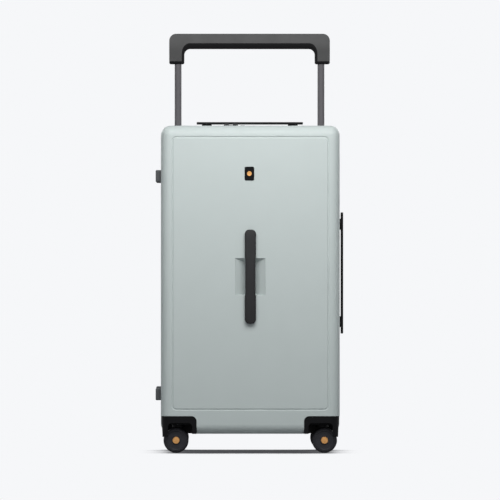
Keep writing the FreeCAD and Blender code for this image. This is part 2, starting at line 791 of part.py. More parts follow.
def tube_solid(name, sign, stage, out, z):
    """The outside of a tube of one stage, counted out from the inner one, moved out by a distance."""
    width = inner_tube_width + stage * stage_step + 2 * out
    depth = inner_tube_depth + stage * stage_step + 2 * out
    radius = inner_tube_radius + stage * stage_step / 2 + out
    return slab(name, about(tube_x(sign), width), about(tube_y, depth), z, "Z", radius)


def tube_pair(name, stage, z):
    pieces = []
    for sign in TUBE_SIDES:
        outside = tube_solid(name + "_outside", sign, stage, as_size(0), z)
        inside = tube_solid(name + "_inside", sign, stage, -tube_wall, grow(z, cut_over))
        pieces.append(cut(name + "_tube", outside, inside))
    return group(name, *pieces)


wells = []
for sign in TUBE_SIDES:
    well_block = block("well_block", *well_spans(sign, as_size(0)))
    flush = common("well_flush", well_block, outer_form)
    well_x, well_y, well_z = well_spans(sign, -well_wall)
    hollow = block("well_hollow", well_x, well_y, (well_floor_top, top_z + cut_over))
    throat = tube_solid("well_throat", sign, 1, fit_gap, (well_under - cut_over, well_floor_top + cut_over))
    wells.append(cut("well", flush, hollow, throat))
node(group("trolley_wells", *wells))

shoe_top = housing_top + shoe_height
outer_low = housing_top + shoe_floor
shoes = []
for sign in TUBE_SIDES:
    shoe_form = tube_solid("shoe_form", sign, 2, shoe_wall, (housing_top, shoe_top))
    socket = tube_solid("shoe_socket", sign, 2, seat_gap, (outer_low, shoe_top + cut_over))
    shoes.append(cut("shoe", shoe_form, socket))
node(group("trolley_tube_shoes", *shoes))
node(tube_pair("trolley_outer_tubes", 2, (outer_low, well_under)))
middle_top = well_floor_top - tube_below_well
node(tube_pair("trolley_middle_tubes", 1, (outer_low + middle_tube_above_shoe, middle_top)))
inner_top = leg_bottom + socket_depth
inner_low = outer_low + inner_tube_above_shoe
node(tube_pair("trolley_inner_tubes", 0, (inner_low, inner_top)))

trolley_x = about(centre_x, trolley_width)
trolley_y = about(tube_y, trolley_thickness)
trolley_blank = block("trolley_blank", trolley_x, trolley_y, (leg_bottom, grip_top))
palm_x = grow(trolley_x, -trolley_leg_width)
palm_gap = block("palm_gap", palm_x, grow(trolley_y, cut_over), (leg_bottom - cut_over, bar_under))
trolley_arch = cut("trolley_arch", trolley_blank, palm_gap)
outer_corners = both(along("Y"), at("Z", grip_top))
trolley_tops = rounded("trolley_tops", trolley_arch, trolley_outer_radius, outer_corners)
inner_corners = both(along("Y"), at("Z", bar_under))
trolley_bends = rounded("trolley_bends", trolley_tops, trolley_inner_radius, inner_corners)
leg_ends = both(along("Y"), at("Z", leg_bottom))
trolley_legs = rounded("trolley_legs", trolley_bends, trolley_leg_radius, leg_ends)
front_edges = at("Y", trolley_y[0])
rear_edges = at("Y", trolley_y[1])
trolley_soft = rounded("trolley_soft", trolley_legs, trolley_round, lambda e: front_edges(e) or rear_edges(e))

yoke_low = bar_under + yoke_floor + button_travel
yoke_z = (yoke_low, yoke_low + yoke_height)
yoke_x = about(centre_x, tube_spacing + 2 * stem_width)
yoke_y = about(tube_y, stem_width)
button_x = about(centre_x, button_length)
button_y = about(tube_y, button_width)
button_z = (grip_top - button_height, grip_top)
stem_x = about(centre_x, stem_length)
yoke_room_z = (yoke_low - button_travel - slide_gap, yoke_z[1] + slide_gap)
yoke_room = block("yoke_room", grow(yoke_x, slide_gap), grow(yoke_y, slide_gap), yoke_room_z)
button_room_z = (button_z[0] - button_travel - slide_gap, grip_top + cut_over)
button_room_spans = [grow(button_x, slide_gap), grow(button_y, slide_gap), button_room_z]
button_room = slab("button_room", *button_room_spans, "Z", button_radius + slide_gap)
stem_room_z = (yoke_z[1] - cut_over, grip_top)
stem_room = block("stem_room", grow(stem_x, slide_gap), grow(yoke_y, slide_gap), stem_room_z)
trolley_cutters = [yoke_room, button_room, stem_room]
for sign in TUBE_SIDES:
    socket_z = (leg_bottom - cut_over, inner_top)
    trolley_cutters.append(tube_solid("trolley_socket", sign, 0, seat_gap, socket_z))
    duct_z = (inner_top - cut_over, yoke_low)
    trolley_cutters.append(rod("rod_duct", "Z", tube_x(sign), tube_y, duct_z, rod_radius + slide_gap))
node(cut("trolley_grip", trolley_soft, *trolley_cutters))

button_cap = slab("button_cap", button_x, button_y, button_z, "Z", button_radius)
button_stem = block("button_stem", stem_x, yoke_y, (yoke_z[1], button_z[0] + cut_over))
node(fuse("release_button", button_cap, button_stem))
release = [block("release_yoke", yoke_x, yoke_y, yoke_z)]
for sign in TUBE_SIDES:
    rod_z = (inner_low + rod_above_end, yoke_low + cut_over)
    release.append(rod("release_rod", "Z", tube_x(sign), tube_y, rod_z, rod_radius))
node(fuse("release_rods", *release))

# Carry handles: a low bar on two sprung posts that slide out of sleeves in the shell

top_bar_length = size("top_bar_length", 246)
side_bar_length = size("side_bar_length", 280.6)
handle_width = size("handle_width", 28)
handle_radius = size("handle_radius", 9)
handle_round = size("handle_round", 2)
top_mount_length = size("top_mount_length", 23.6)
side_mount_length = size("side_mount_length", 26.5)
mount_width = size("mount_width", 24)
mount_radius = size("mount_radius", 5)
post_length = size("post_length", 12)
post_width = size("post_width", 10)
post_head_over = size("post_head_over", 2)
post_head_height = size("post_head_height", 3)
sleeve_wall = size("sleeve_wall", 2)
sleeve_ledge = size("sleeve_ledge", 4)
spring_gap = size("spring_gap", 0.4)
spring_thickness = size("spring_thickness", 1)


def lift_handle(name, bar_length, post_spacing, mount_length):
    """A handle lying along X on a shell whose outside is at Z = 0, as bar, guides and springs."""
    bar_z = (handle_gap, handle_rise)
    bar_spans = [about(0, bar_length), about(0, handle_width), bar_z]
    bar_blank = slab(name + "_bar_blank", *bar_spans, "Z", handle_radius)
    top_edges = at("Z", handle_rise)
    bar_pieces = [rounded(name + "_bar_soft", bar_blank, handle_round, top_edges)]
    guides = []
    springs = []
    ledge_under = -sleeve_ledge
    chamber_low = sleeve_wall - sleeve_depth
    head_z = (chamber_low + fit_gap, chamber_low + fit_gap + post_head_height)
    for sign in (-1, 1):
        middle = sign * post_spacing / 2
        post_x = about(middle, post_length)
        post_y = about(0, post_width)
        bar_pieces.append(block(name + "_post", post_x, post_y, (head_z[0], handle_gap + cut_over)))
        head_spans = [grow(post_x, post_head_over), grow(post_y, post_head_over)]
        bar_pieces.append(block(name + "_post_head", *head_spans, head_z))
        sleeve_spans_here = [about(middle, sleeve_length), about(0, sleeve_width)]
        sleeve = block(name + "_sleeve", *sleeve_spans_here, (-sleeve_depth, as_size(0)))
        mount_spans = [about(middle, mount_length), about(0, mount_width)]
        mount = slab(name + "_mount", *mount_spans, (as_size(0), handle_gap - fit_gap), "Z", mount_radius)
        solid = fuse(name + "_guide_solid", sleeve, mount)
        chamber_spans = [grow(ends, -sleeve_wall) for ends in sleeve_spans_here]
        chamber = block(name + "_chamber", *chamber_spans, (chamber_low, ledge_under))
        throat_z = (ledge_under - cut_over, handle_gap + cut_over)
        throat = block(name + "_throat", grow(post_x, fit_gap), grow(post_y, fit_gap), throat_z)
        guides.append(cut(name + "_guide", solid, chamber, throat))
        spring_z = (head_z[1], ledge_under)
        coil_in = [grow(post_x, spring_gap), grow(post_y, spring_gap)]
        coil_out = [grow(ends, spring_thickness) for ends in coil_in]
        coil = block(name + "_coil", *coil_out, spring_z)
        core = block(name + "_core", *coil_in, grow(spring_z, cut_over))
        springs.append(cut(name + "_spring", coil, core))
    bar = fuse(name + "_bar", *bar_pieces)
    return bar, group(name + "_guides", *guides), group(name + "_springs", *springs)


for item in lift_handle("top_handle", top_bar_length, top_post_spacing, top_mount_length):
    node(place(item, centre_x, handle_y, top_z))
upright = FreeCAD.Rotation(DIRECTION["Y"], 90)
for item in lift_handle("side_handle", side_bar_length, side_post_spacing, side_mount_length):
    node(place(item, right_x, handle_y, side_handle_height, upright))

# Combination lock let into the top of the rear shell, beside the zip

lock_flange_over = size("lock_flange_over", 2)
lock_flange = size("lock_flange", 1.5)
lock_radius = size("lock_radius", 4)
dial_radius = size("dial_radius", 8)
dial_width = size("dial_width", 6)
dial_pitch = size("dial_pitch", 8)
dial_proud = size("dial_proud", 2)
dial_gap = size("dial_gap", 0.8)
dial_axle_radius = size("dial_axle_radius", 1.5)
dial_axle_over = size("dial_axle_over", 3)
window_width = size("window_width", 14)
lock_button_right = size("lock_button_right", 27)
lock_button_length = size("lock_button_length", 10)
lock_button_width = size("lock_button_width", 7)
lock_button_depth = size("lock_button_depth", 8)
lock_button_proud = size("lock_button_proud", 1.2)
lock_button_travel = size("lock_button_travel", 6)
key_left = size("key_left", 26)
key_radius = size("key_radius", 4.5)
key_depth = size("key_depth", 14)
key_proud = size("key_proud", 0.5)
key_slot_length = size("key_slot_length", 5)
key_slot_width = size("key_slot_width", 1.2)

lock_face = top_z + lock_flange
dial_z = lock_face + dial_proud - dial_radius
dial_count = 3
lock_spans = [about(lock_x, lock_length), about(lock_y, lock_width)]
lock_box = block("lock_box", *lock_spans, (top_z - lock_depth, top_z))
flange_spans = [grow(ends, lock_flange_over) for ends in lock_spans]
lock_plate = slab("lock_plate", *flange_spans, (top_z, lock_face), "Z", lock_radius)
lock_solid = fuse("lock_solid", lock_box, lock_plate)
bay_length = dial_count * dial_pitch
bay_x = about(lock_x, bay_length)
bay_low = dial_z - dial_radius - dial_gap
dial_bay = block("dial_bay", bay_x, about(lock_y, 2 * (dial_radius + dial_gap)), (bay_low, top_z))
window_z = (top_z - cut_over, lock_face + cut_over)
dial_window = block("dial_window", bay_x, about(lock_y, window_width), window_z)
axle_x = grow(bay_x, dial_axle_over)
axle_hole = rod("dial_axle_hole", "X", axle_x, lock_y, dial_z, dial_axle_radius + seat_gap)
button_middle = lock_x + lock_button_right
lock_button_x = about(button_middle, lock_button_length)
lock_button_y = about(lock_y, lock_button_width)
lock_button_z = (lock_face - lock_button_depth, lock_face + lock_button_proud)
slot_x = (lock_button_x[0] - fit_gap - lock_button_travel, lock_button_x[1] + fit_gap)
slot_z = (lock_button_z[0] - fit_gap, lock_face + cut_over)
button_slot = block("lock_button_slot", slot_x, grow(lock_button_y, fit_gap), slot_z)
key_x = lock_x - key_left
key_z = (lock_face - key_depth, lock_face + key_proud)
key_bore_z = (key_z[0] - fit_gap, lock_face + cut_over)
key_bore = rod("key_bore", "Z", key_x, lock_y, key_bore_z, key_radius + running_gap)
node(cut("lock_body", lock_solid, dial_bay, dial_window, axle_hole, button_slot, key_bore))
node(rod("lock_dial_axle", "X", axle_x, lock_y, dial_z, dial_axle_radius))

for number in range(dial_count):
    name = f"lock_dial_{number + 1}"
    dial_x = about(lock_x + (number - (dial_count - 1) / 2) * dial_pitch, dial_width)
    wheel_form = doc.addObject("Part::Prism", name + "_form")
    wheel_form.Polygon = 10
    bind(wheel_form, "Circumradius", dial_radius)
    bind(wheel_form, "Height", dial_width)
    place(wheel_form, dial_x[0], lock_y, dial_z, TURN_TO["X"])
    bore_x = grow(dial_x, cut_over)
    dial_bore = rod(name + "_bore", "X", bore_x, lock_y, dial_z, dial_axle_radius + running_gap)
    node(cut(name, wheel_form, dial_bore))

node(slab("lock_button", lock_button_x, lock_button_y, lock_button_z, "Z", lock_button_width / 4))
key_barrel = rod("key_barrel", "Z", key_x, lock_y, key_z, key_radius)
key_slot_z = (lock_face - key_depth / 2, lock_face + cut_over)
key_slot = block("key_slot", about(key_x, key_slot_width), about(lock_y, key_slot_length), key_slot_z)
node(cut("key_cylinder", key_barrel, key_slot))

# Zip sliders over the teeth on the top, and the pulls that lie back on the lock

slider_length = size("slider_length", 14)
slider_width = size("slider_width", 9)
slider_height = size("slider_height", 2.4)
slider_radius = size("slider_radius", 3)
left_slider_left = size("left_slider_left", 54)
right_slider_left = size("right_slider_left", 34)
ear_inside = size("ear_inside", 3.6)
ear_outside = size("ear_outside", 5.6)
ear_half = size("ear_half", 2.6)
ear_rise = size("ear_rise", 4)
knuckle_radius = size("knuckle_radius", 1.8)
trunnion_radius = size("trunnion_radius", 1)
pull_width = size("pull_width", 9)
pull_length = size("pull_length", 30)
pull_thickness = size("pull_thickness", 2)
pull_radius = size("pull_radius", 4)
pull_hole_radius = size("pull_hole_radius", 2.2)
pull_hole_from_end = size("pull_hole_from_end", 5)
knuckle_gap = size("knuckle_gap", 0.4)
tab_clear = size("tab_clear", 1.2)

slider_low = chain_top_z + fit_gap
slider_top = slider_low + slider_height
pin_z = slider_top + knuckle_gap + knuckle_radius
for name, from_middle in (("left", left_slider_left), ("right", right_slider_left)):
    middle = centre_x - from_middle
    plate_spans = [about(middle, slider_length), about(split_y, slider_width), (slider_low, slider_top)]
    pieces = [slab(f"slider_{name}_plate", *plate_spans, "Z", slider_radius)]
    for sign in (-1, 1):
        ear_x = span(middle + sign * ear_inside, middle + sign * ear_outside)
        ear_z = (slider_top - cut_over, slider_top + ear_rise)
        pieces.append(block(f"slider_{name}_ear", ear_x, about(split_y, 2 * ear_half), ear_z))
    whole = fuse(f"slider_{name}_whole", *pieces)
    pin_reach = about(middle, 2 * (ear_outside + cut_over))
    pin_hole = rod(f"slider_{name}_pin_hole", "X", pin_reach, split_y, pin_z, trunnion_radius + running_gap)
    node(cut(f"zipper_slider_{name}", whole, pin_hole))
    knuckle_x = about(middle, 2 * (ear_inside - fit_gap))
    knuckle = rod(f"pull_{name}_knuckle", "X", knuckle_x, split_y, pin_z, knuckle_radius)
    trunnion_x = about(middle, 2 * ear_outside)
    trunnion = rod(f"pull_{name}_trunnion", "X", trunnion_x, split_y, pin_z, trunnion_radius)
    pull_y = (split_y + ear_half + tab_clear, split_y + pull_length)
    pull_z = about(pin_z, pull_thickness)
    far_end = both(along("Z"), at("Y", pull_y[1]))
    tab_block = block(f"pull_{name}_block", about(middle, pull_width), pull_y, pull_z)
    tab = rounded(f"pull_{name}_tab", tab_block, pull_radius, far_end)
    neck = block(f"pull_{name}_neck", knuckle_x, (split_y, pull_y[0] + cut_over), pull_z)
    pull_solid = fuse(f"pull_{name}_solid", knuckle, trunnion, neck, tab)
    hole_y = pull_y[1] - pull_hole_from_end
    hole = rod(f"pull_{name}_hole", "Z", middle, hole_y, grow(pull_z, cut_over), pull_hole_radius)
    node(cut(f"zipper_pull_{name}", pull_solid, hole))

# Linings: thin skins that step round everything that reaches into the case

lining_gap = size("lining_gap", 3)
lining_thickness = size("lining_thickness", 1.2)
lining_clear = size("lining_clear", 0.5)
lining_from_tape = size("lining_from_tape", 0.2)


def lining(name, way, open_y, obstacles):
    """A skin inside one shell, open towards the zip."""

    def form(part, extra, open_over):
        inset = shell_wall + lining_gap + extra
        back = rear_y - inset if way > 0 else front_y + inset
        spans = [grow(case_x, -inset), span(open_y - way * open_over, back), grow(case_z, -inset)]
        blank = block(f"{name}_{part}_blank", *spans)
        mouth = at("Y", open_y - way * open_over)
        soft = rounded(f"{name}_{part}_soft", blank, shell_radius - inset, lambda edge: not mouth(edge))
        grown = [[grow(ends, lining_clear + extra) for ends in box] for box in obstacles]
        return cut(f"{name}_{part}", soft, *[block(f"{name}_{part}_box", *box) for box in grown])

    outside = form("outside", as_size(0), as_size(0))
    inside = form("inside", lining_thickness, cut_over)
    return cut(name, outside, inside)


rear_obstacles = [corner_box(side, "rear", fit_gap) for side in SIDES]
for sign in TUBE_SIDES:
    rear_obstacles.append(well_spans(sign, as_size(0)))
    shoe_width = inner_tube_width + 2 * stage_step + 2 * shoe_wall
    shoe_depth = inner_tube_depth + 2 * stage_step + 2 * shoe_wall
    column_y = (tube_y - shoe_depth / 2, rear_y)
    rear_obstacles.append([about(tube_x(sign), shoe_width), column_y, case_z])
    for handle in ("top", "side"):
        rear_obstacles.append(sleeve_spans(handle, sign, as_size(0)))
rear_obstacles.append([*lock_spans, (top_z - lock_depth, top_z)])
node(lining("rear_lining", 1, split_y + tape_reach + lining_from_tape, rear_obstacles))

lid_obstacles = [corner_box(side, "front", fit_gap) for side in SIDES]
scoop_x = about(centre_x, scoop_width + 2 * shell_wall)
scoop_z = about(front_grip_height, scoop_height + 2 * shell_wall)
lid_obstacles.append([scoop_x, (front_y, front_y + scoop_depth + shell_wall), scoop_z])
node(lining("lid_lining", -1, split_y - tape_reach - lining_from_tape, lid_obstacles))

# Pocket on the lower half of the lid's lining, and packing straps on the rear one

pocket_width = size("pocket_width", 300)
pocket_above_base = size("pocket_above_base", 61)
pocket_below_scoop = size("pocket_below_scoop", 22)
pocket_thickness = size("pocket_thickness", 2.5)
pocket_radius = size("pocket_radius", 12)
strap_spacing = size("strap_spacing", 130)
strap_width = size("strap_width", 28)
strap_thickness = size("strap_thickness", 1.6)
strap_above_base = size("strap_above_base", 66)
strap_below_top = size("strap_below_top", 60)
buckle_width = size("buckle_width", 40)
buckle_height = size("buckle_height", 62)
buckle_thickness = size("buckle_thickness", 8)
buckle_radius = size("buckle_radius", 6)
buckle_above_middle = size("buckle_above_middle", 23)

skin_depth = shell_wall + lining_gap + lining_thickness
pocket_y = (front_y + skin_depth, front_y + skin_depth + pocket_thickness)
pocket_z = (base_z + pocket_above_base, scoop_z[0] - pocket_below_scoop)
node(slab("lid_pocket", about(centre_x, pocket_width), pocket_y, pocket_z, "Y", pocket_radius))

strap_back = rear_y - skin_depth
strap_pieces = []
for sign in (-1, 1):
    strap_x = about(centre_x + sign * strap_spacing / 2, strap_width)
    strap_y = (strap_back - strap_thickness, strap_back)
    buckle_z = about(middle_z + buckle_above_middle, buckle_height)
    strap_pieces.append(block("strap_lower", strap_x, strap_y, (base_z + strap_above_base, buckle_z[0])))
    strap_pieces.append(block("strap_upper", strap_x, strap_y, (buckle_z[1], top_z - strap_below_top)))
    buckle_x = about(centre_x + sign * strap_spacing / 2, buckle_width)
    buckle_y = (strap_back - buckle_thickness, strap_back)
    strap_pieces.append(slab("strap_buckle", buckle_x, buckle_y, buckle_z, "Y", buckle_radius))
node(group("packing_straps", *strap_pieces))

# Build, look for failures, and write one file for each piece

doc.recompute()
for item in doc.Objects:
    if "Invalid" in item.State or "Error" in item.State:
        raise SystemExit(f"{item.Label} failed: {item.State}")
for item in nodes:
    if item.Shape.isNull() or not item.Shape.isValid() or not item.Shape.Solids:
        raise SystemExit(f"{item.Label} has no valid solid")
os.makedirs("parts", exist_ok=True)
for item in nodes:
    item.Shape.exportStep(f"parts/{item.Label}.step")
    box = item.Shape.BoundBox
    print(f"{item.Label}: {len(item.Shape.Solids)} solids, {item.Shape.Volume / 1000:.1f} cm3,", box)
print(f"{len(nodes)} nodes")
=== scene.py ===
import math

import bmesh
import bpy
from mathutils import Matrix, Vector, noise


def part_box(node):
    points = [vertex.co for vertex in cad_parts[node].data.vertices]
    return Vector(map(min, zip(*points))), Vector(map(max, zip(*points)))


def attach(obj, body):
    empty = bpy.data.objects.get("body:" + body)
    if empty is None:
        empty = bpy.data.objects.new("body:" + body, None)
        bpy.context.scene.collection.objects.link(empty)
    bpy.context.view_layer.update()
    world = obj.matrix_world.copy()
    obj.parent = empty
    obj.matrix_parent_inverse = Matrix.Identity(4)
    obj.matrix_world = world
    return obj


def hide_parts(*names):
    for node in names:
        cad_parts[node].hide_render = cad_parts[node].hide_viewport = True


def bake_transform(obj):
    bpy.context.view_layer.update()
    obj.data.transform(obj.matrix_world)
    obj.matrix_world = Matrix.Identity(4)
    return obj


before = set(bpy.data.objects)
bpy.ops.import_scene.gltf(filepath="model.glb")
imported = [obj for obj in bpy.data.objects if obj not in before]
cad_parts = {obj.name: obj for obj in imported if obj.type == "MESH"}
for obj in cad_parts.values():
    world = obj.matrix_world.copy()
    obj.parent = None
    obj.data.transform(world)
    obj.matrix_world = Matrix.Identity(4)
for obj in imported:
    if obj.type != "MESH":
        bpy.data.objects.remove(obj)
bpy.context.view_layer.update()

# Studio
# The case stands on a pale sweep in the wall's own tone. A large softbox hangs above it and in front, a
# weak one faces it and two stand behind; a dim fill, weaker from the sides, lights the shadows.


def linear(code):
    """The linear colour of an sRGB hex value."""
    values = [int(code[start:start + 2], 16) / 255 for start in (1, 3, 5)]
    return [v / 12.92 if v <= 0.04045 else ((v + 0.055) / 1.055) ** 2.4 for v in values] + [1.0]


def add_node(tree, kind, inputs=(), **fields):
    """Add a node: fields are its own settings, inputs are values or other nodes' outputs."""
    made = tree.nodes.new(kind)
    for name, value in fields.items():
        setattr(made, name, value)
    for socket, value in dict(inputs).items():
        if isinstance(value, bpy.types.NodeSocket):
            tree.links.new(value, made.inputs[socket])
        else:
            made.inputs[socket].default_value = value
    return made


def seen_directly(tree):
    """One for camera, mirror and glass rays, and nothing for the light that falls on the case."""
    rays = add_node(tree, "ShaderNodeLightPath").outputs
    first = add_node(tree, "ShaderNodeMath", {0: rays["Is Camera Ray"], 1: rays["Is Glossy Ray"]},
                     operation="MAXIMUM")
    return add_node(tree, "ShaderNodeMath", {0: first.outputs[0], 1: rays["Is Transmission Ray"]},
                    operation="MAXIMUM").outputs[0]


MM = 0.001
BACKDROP = linear("#f6f7f9")
FILL_LIGHT = linear("#6f7276")
FILL_AT_SIDES = 0.7
SIDES_FROM = 0.45
SIDES_TO = 0.95
FLOOR_REACH = 40.0
FLOOR_TONE = linear("#a2a3a5")
SHADOW_REACH = 140 * MM
SHADOW_LEAN = 1.1
SHADOW_TONE = linear("#4c4d50")
SHADOW_FULL = 0.42
SHADOW_NONE = 0.8

world = bpy.data.worlds.new("studio")
bpy.context.scene.world = world
world.use_nodes = True
tree = world.node_tree
tree.nodes.clear()
way = add_node(tree, "ShaderNodeSeparateXYZ", {0: add_node(tree, "ShaderNodeTexCoord").outputs["Generated"]})
aside = add_node(tree, "ShaderNodeMath", {0: way.outputs["X"]}, operation="ABSOLUTE")
share = add_node(tree, "ShaderNodeMapRange",
                 {0: aside.outputs[0], 1: SIDES_FROM, 2: SIDES_TO, 3: 1.0, 4: FILL_AT_SIDES},
                 interpolation_type="SMOOTHSTEP")
fill = add_node(tree, "ShaderNodeBackground", {"Color": FILL_LIGHT, "Strength": share.outputs[0]})
wall = add_node(tree, "ShaderNodeBackground", {"Color": BACKDROP, "Strength": 1.0})
whole = add_node(tree, "ShaderNodeMixShader",
                 {0: seen_directly(tree), 1: fill.outputs[0], 2: wall.outputs[0]})
add_node(tree, "ShaderNodeOutputWorld", {"Surface": whole.outputs[0]})


def new_piece(name, points, faces):
    """A mesh object from points in metres."""
    mesh = bpy.data.meshes.new(name)
    mesh.from_pydata([tuple(point) for point in points], [], faces)
    piece = bpy.data.objects.new(name, mesh)
    bpy.context.scene.collection.objects.link(piece)
    return piece


def new_finish(name):
    """An empty material and its node tree."""
    finish = bpy.data.materials.new(name)
    finish.use_nodes = True
    finish.node_tree.nodes.clear()
    return finish, finish.node_tree


floor_corners = [(sx * FLOOR_REACH, sy * FLOOR_REACH, 0) for sx, sy in ((-1, -1), (1, -1), (1, 1), (-1, 1))]
floor = new_piece("floor", floor_corners, [(0, 1, 2, 3)])

# Painted board, matt and pale. It shows the wall's own tone, with a painted shadow that darkens it
# softly where the case is near.
pale_sweep, tree = new_finish("pale_sweep")
lean = add_node(tree, "ShaderNodeCombineXYZ", {"Y": SHADOW_LEAN, "Z": 1.0})
# Painted shadow: the shown tone darkens where the case stands close over the floor.
contact = add_node(tree, "ShaderNodeAmbientOcclusion",
                   {"Distance": SHADOW_REACH, "Normal": lean.outputs[0]}, samples=16)
openness = add_node(tree, "ShaderNodeMapRange", {0: contact.outputs["AO"], 1: SHADOW_FULL, 2: SHADOW_NONE},
                    interpolation_type="SMOOTHSTEP")
tone = add_node(tree, "ShaderNodeMix", {0: openness.outputs[0], 6: SHADOW_TONE, 7: BACKDROP},
                data_type="RGBA")
shown = add_node(tree, "ShaderNodeEmission", {"Color": tone.outputs[2], "Strength": 1.0})
lit = add_node(tree, "ShaderNodeBsdfDiffuse", {"Color": FLOOR_TONE})
whole = add_node(tree, "ShaderNodeMixShader",
                 {0: seen_directly(tree), 1: lit.outputs[0], 2: shown.outputs[0]})
add_node(tree, "ShaderNodeOutputMaterial", {"Surface": whole.outputs[0]})
floor.data.materials.append(pale_sweep)

# Each softbox: its name, its place, the point that it faces, its width and height, and its watts.
SOFTBOXES = (("key_softbox", (0.04, -1.12, 1.32), (0, -0.18, 0.5), (1.3, 0.8), 18),
             ("front_softbox", (0, -2.6, 0.85), (0, -0.18, 0.45), (1.2, 1.2), 3.4),
             ("back_softbox", (-1.1, 1.6, 1.15), (0, 0.1, 0.45), (0.8, 0.8), 13),
             ("back_softbox", (1.1, 1.6, 1.15), (0, 0.1, 0.45), (0.8, 0.8), 13))
for name, place, aim, (width, height), watts in SOFTBOXES:
    lamp = bpy.data.lights.new(name, "AREA")
    lamp.shape = "RECTANGLE"
    lamp.size = width
    lamp.size_y = height
    lamp.energy = watts
    holder = bpy.data.objects.new(name, lamp)
    holder.location = place
    holder.rotation_euler = (Vector(aim) - Vector(place)).to_track_quat("-Z", "Y").to_euler()
    bpy.context.scene.collection.objects.link(holder)

CAMERA_FROM_FACE = 18.5
CAMERA_LEFT = 0.109
FRAME_WIDTH = 1.1445
EYE_HEIGHT = 0.4651
AIM_LEFT = 0.00035
SENSOR = 36.0
SIGHT_REACH = 200
face_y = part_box("front_shell")[0].y
lens = bpy.data.cameras.new("eye")
lens.sensor_width = SENSOR
lens.lens = SENSOR * CAMERA_FROM_FACE / FRAME_WIDTH
lens.clip_end = SIGHT_REACH
eye = bpy.data.objects.new("eye", lens)
eye.location = (-CAMERA_LEFT, face_y - CAMERA_FROM_FACE, EYE_HEIGHT)
eye.rotation_euler = (math.radians(90), 0, -math.atan2(CAMERA_LEFT - AIM_LEFT, CAMERA_FROM_FACE))
bpy.context.scene.collection.objects.link(eye)
bpy.context.scene.camera = eye
bpy.context.scene.view_settings.view_transform = "Standard"

# Shells
# Two halves of matt polycarbonate sheet, vacuum-formed over a mould: a deep rear half and a
# shallower lid, each with a framed panel pressed into its face. The lid has a finger scoop too.

SHELL_WALL = 2 * MM
SHELL_RADIUS = 22 * MM
FRAME_SIDE = 26.5 * MM
FRAME_TOP = 26.6 * MM
FRAME_BOTTOM = 55.6 * MM
FRAME_RADIUS = 10 * MM
CREASE_HALF = 2.6 * MM
CREASE_DEPTH = 1.7 * MM
CREASE_STEP = 0.65 * MM
BEND_STEP = 1.1 * MM
BEND_STEPS = 12
CORNER_STEPS = 8
SCOOP_WIDTH = 68.6 * MM
SCOOP_HEIGHT = 84.7 * MM
SCOOP_RIM = 1.2 * MM
SCOOP_RIM_DRAW = 0.35 * MM
SCOOP_FLOOR_WIDTH = 16 * MM
SCOOP_DEPTH = 18 * MM
SCOOP_TOP_SLOPE = 12 * MM
SCOOP_BOTTOM_SLOPE = 2.8 * MM
WHEEL_CUT = 82 * MM
WHEEL_CUT_HEIGHT = 40.7 * MM
WHEEL_CUT_RADIUS = 12 * MM
CUT_ROUNDING = 0.5 * MM
CUT_PAST = 60 * MM
LOCK_LENGTH = 78 * MM
LOCK_LIP = 2.4 * MM
WELL_LENGTH = 42 * MM
WELL_LIP = 0.2 * MM
TOP_MOUNT = 23.6 * MM
SIDE_MOUNT = 26.5 * MM
MOUNT_LIP = 4 * MM
SHELL_WELD = 0.01 * MM

case_low, case_high = [Vector(corner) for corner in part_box("rear_shell")]
case_low.y = face_y
scoop_middle_x = (case_low.x + case_high.x) / 2
scoop_middle_z = sum(corner.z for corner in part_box("front_grip")) / 2
scoop_x = (scoop_middle_x - SCOOP_WIDTH / 2, scoop_middle_x + SCOOP_WIDTH / 2)
scoop_z = (scoop_middle_z - SCOOP_HEIGHT / 2, scoop_middle_z + SCOOP_HEIGHT / 2)


def as_piece(name, build):
    """A mesh object from a mesh that is ready."""
    piece = new_piece(name, [], [])
    build.to_mesh(piece.data)
    build.free()
    return piece


def skin(build, rings):
    """Faces between rings of as many points each, in a mesh under construction."""
    faces = []
    for one, two in zip(rings, rings[1:]):
        for here in range(len(one)):
            after = (here + 1) % len(one)
            faces.append(build.faces.new((one[here], one[after], two[after], two[here])))
    return faces


def edge_lines(end, way):
    """Grid lines that follow the pressed crease near one end of a panel, and the bend of its corner."""
    steps = round(CREASE_HALF / CREASE_STEP)
    across = [end + way * step * CREASE_STEP for step in range(-steps, steps + 1)]
    return across + [across[-1] + way * step * BEND_STEP for step in range(1, BEND_STEPS)]


def around_scoop(lines, ends):
    """Grid lines of the inner wall: the outer wall's, but a wall further out on both sides of the scoop."""
    first, last = [lines.index(end) for end in ends]
    return [*lines[:first], ends[0] - SHELL_WALL, ends[1] + SHELL_WALL, *lines[last + 1:]]


def crease_depth(x, z, frame_x, frame_z):
    """How deep the crease is at a point of the panel: a smooth valley along a rounded rectangle."""
    middle = [sum(ends) / 2 for ends in (frame_x, frame_z)]
    half = [(ends[1] - ends[0]) / 2 - FRAME_RADIUS for ends in (frame_x, frame_z)]
    beyond = [abs(value - centre) - reach for value, centre, reach in zip((x, z), middle, half)]
    outside = math.hypot(max(beyond[0], 0), max(beyond[1], 0))
    away = abs(outside + min(max(beyond), 0) - FRAME_RADIUS)
    return CREASE_DEPTH * (0.5 + 0.5 * math.cos(math.pi * away / CREASE_HALF)) if away < CREASE_HALF else 0


def case_ring(box_x, box_z, radius, lines_x, lines_z):
    """Points round the case's outline from the lower left, along its grid lines and round its corners."""
    (x0, x1), (z0, z1) = box_x, box_z
    centres = [(x0 + radius, z0 + radius), (x1 - radius, z0 + radius),
               (x1 - radius, z1 - radius), (x0 + radius, z1 - radius)]
    runs = [[(x, z0) for x in lines_x], [(x1, z) for z in lines_z],
            [(x, z1) for x in reversed(lines_x)], [(x0, z) for z in reversed(lines_z)]]
    points = []
    for side, (cx, cz) in enumerate(centres):
        start = math.pi * (1 + side / 2)
        for step in range(CORNER_STEPS + 1):
            angle = start + math.pi / 2 * step / CORNER_STEPS
            points.append((cx + radius * math.cos(angle), cz + radius * math.sin(angle)))
        points += runs[side]
    return points


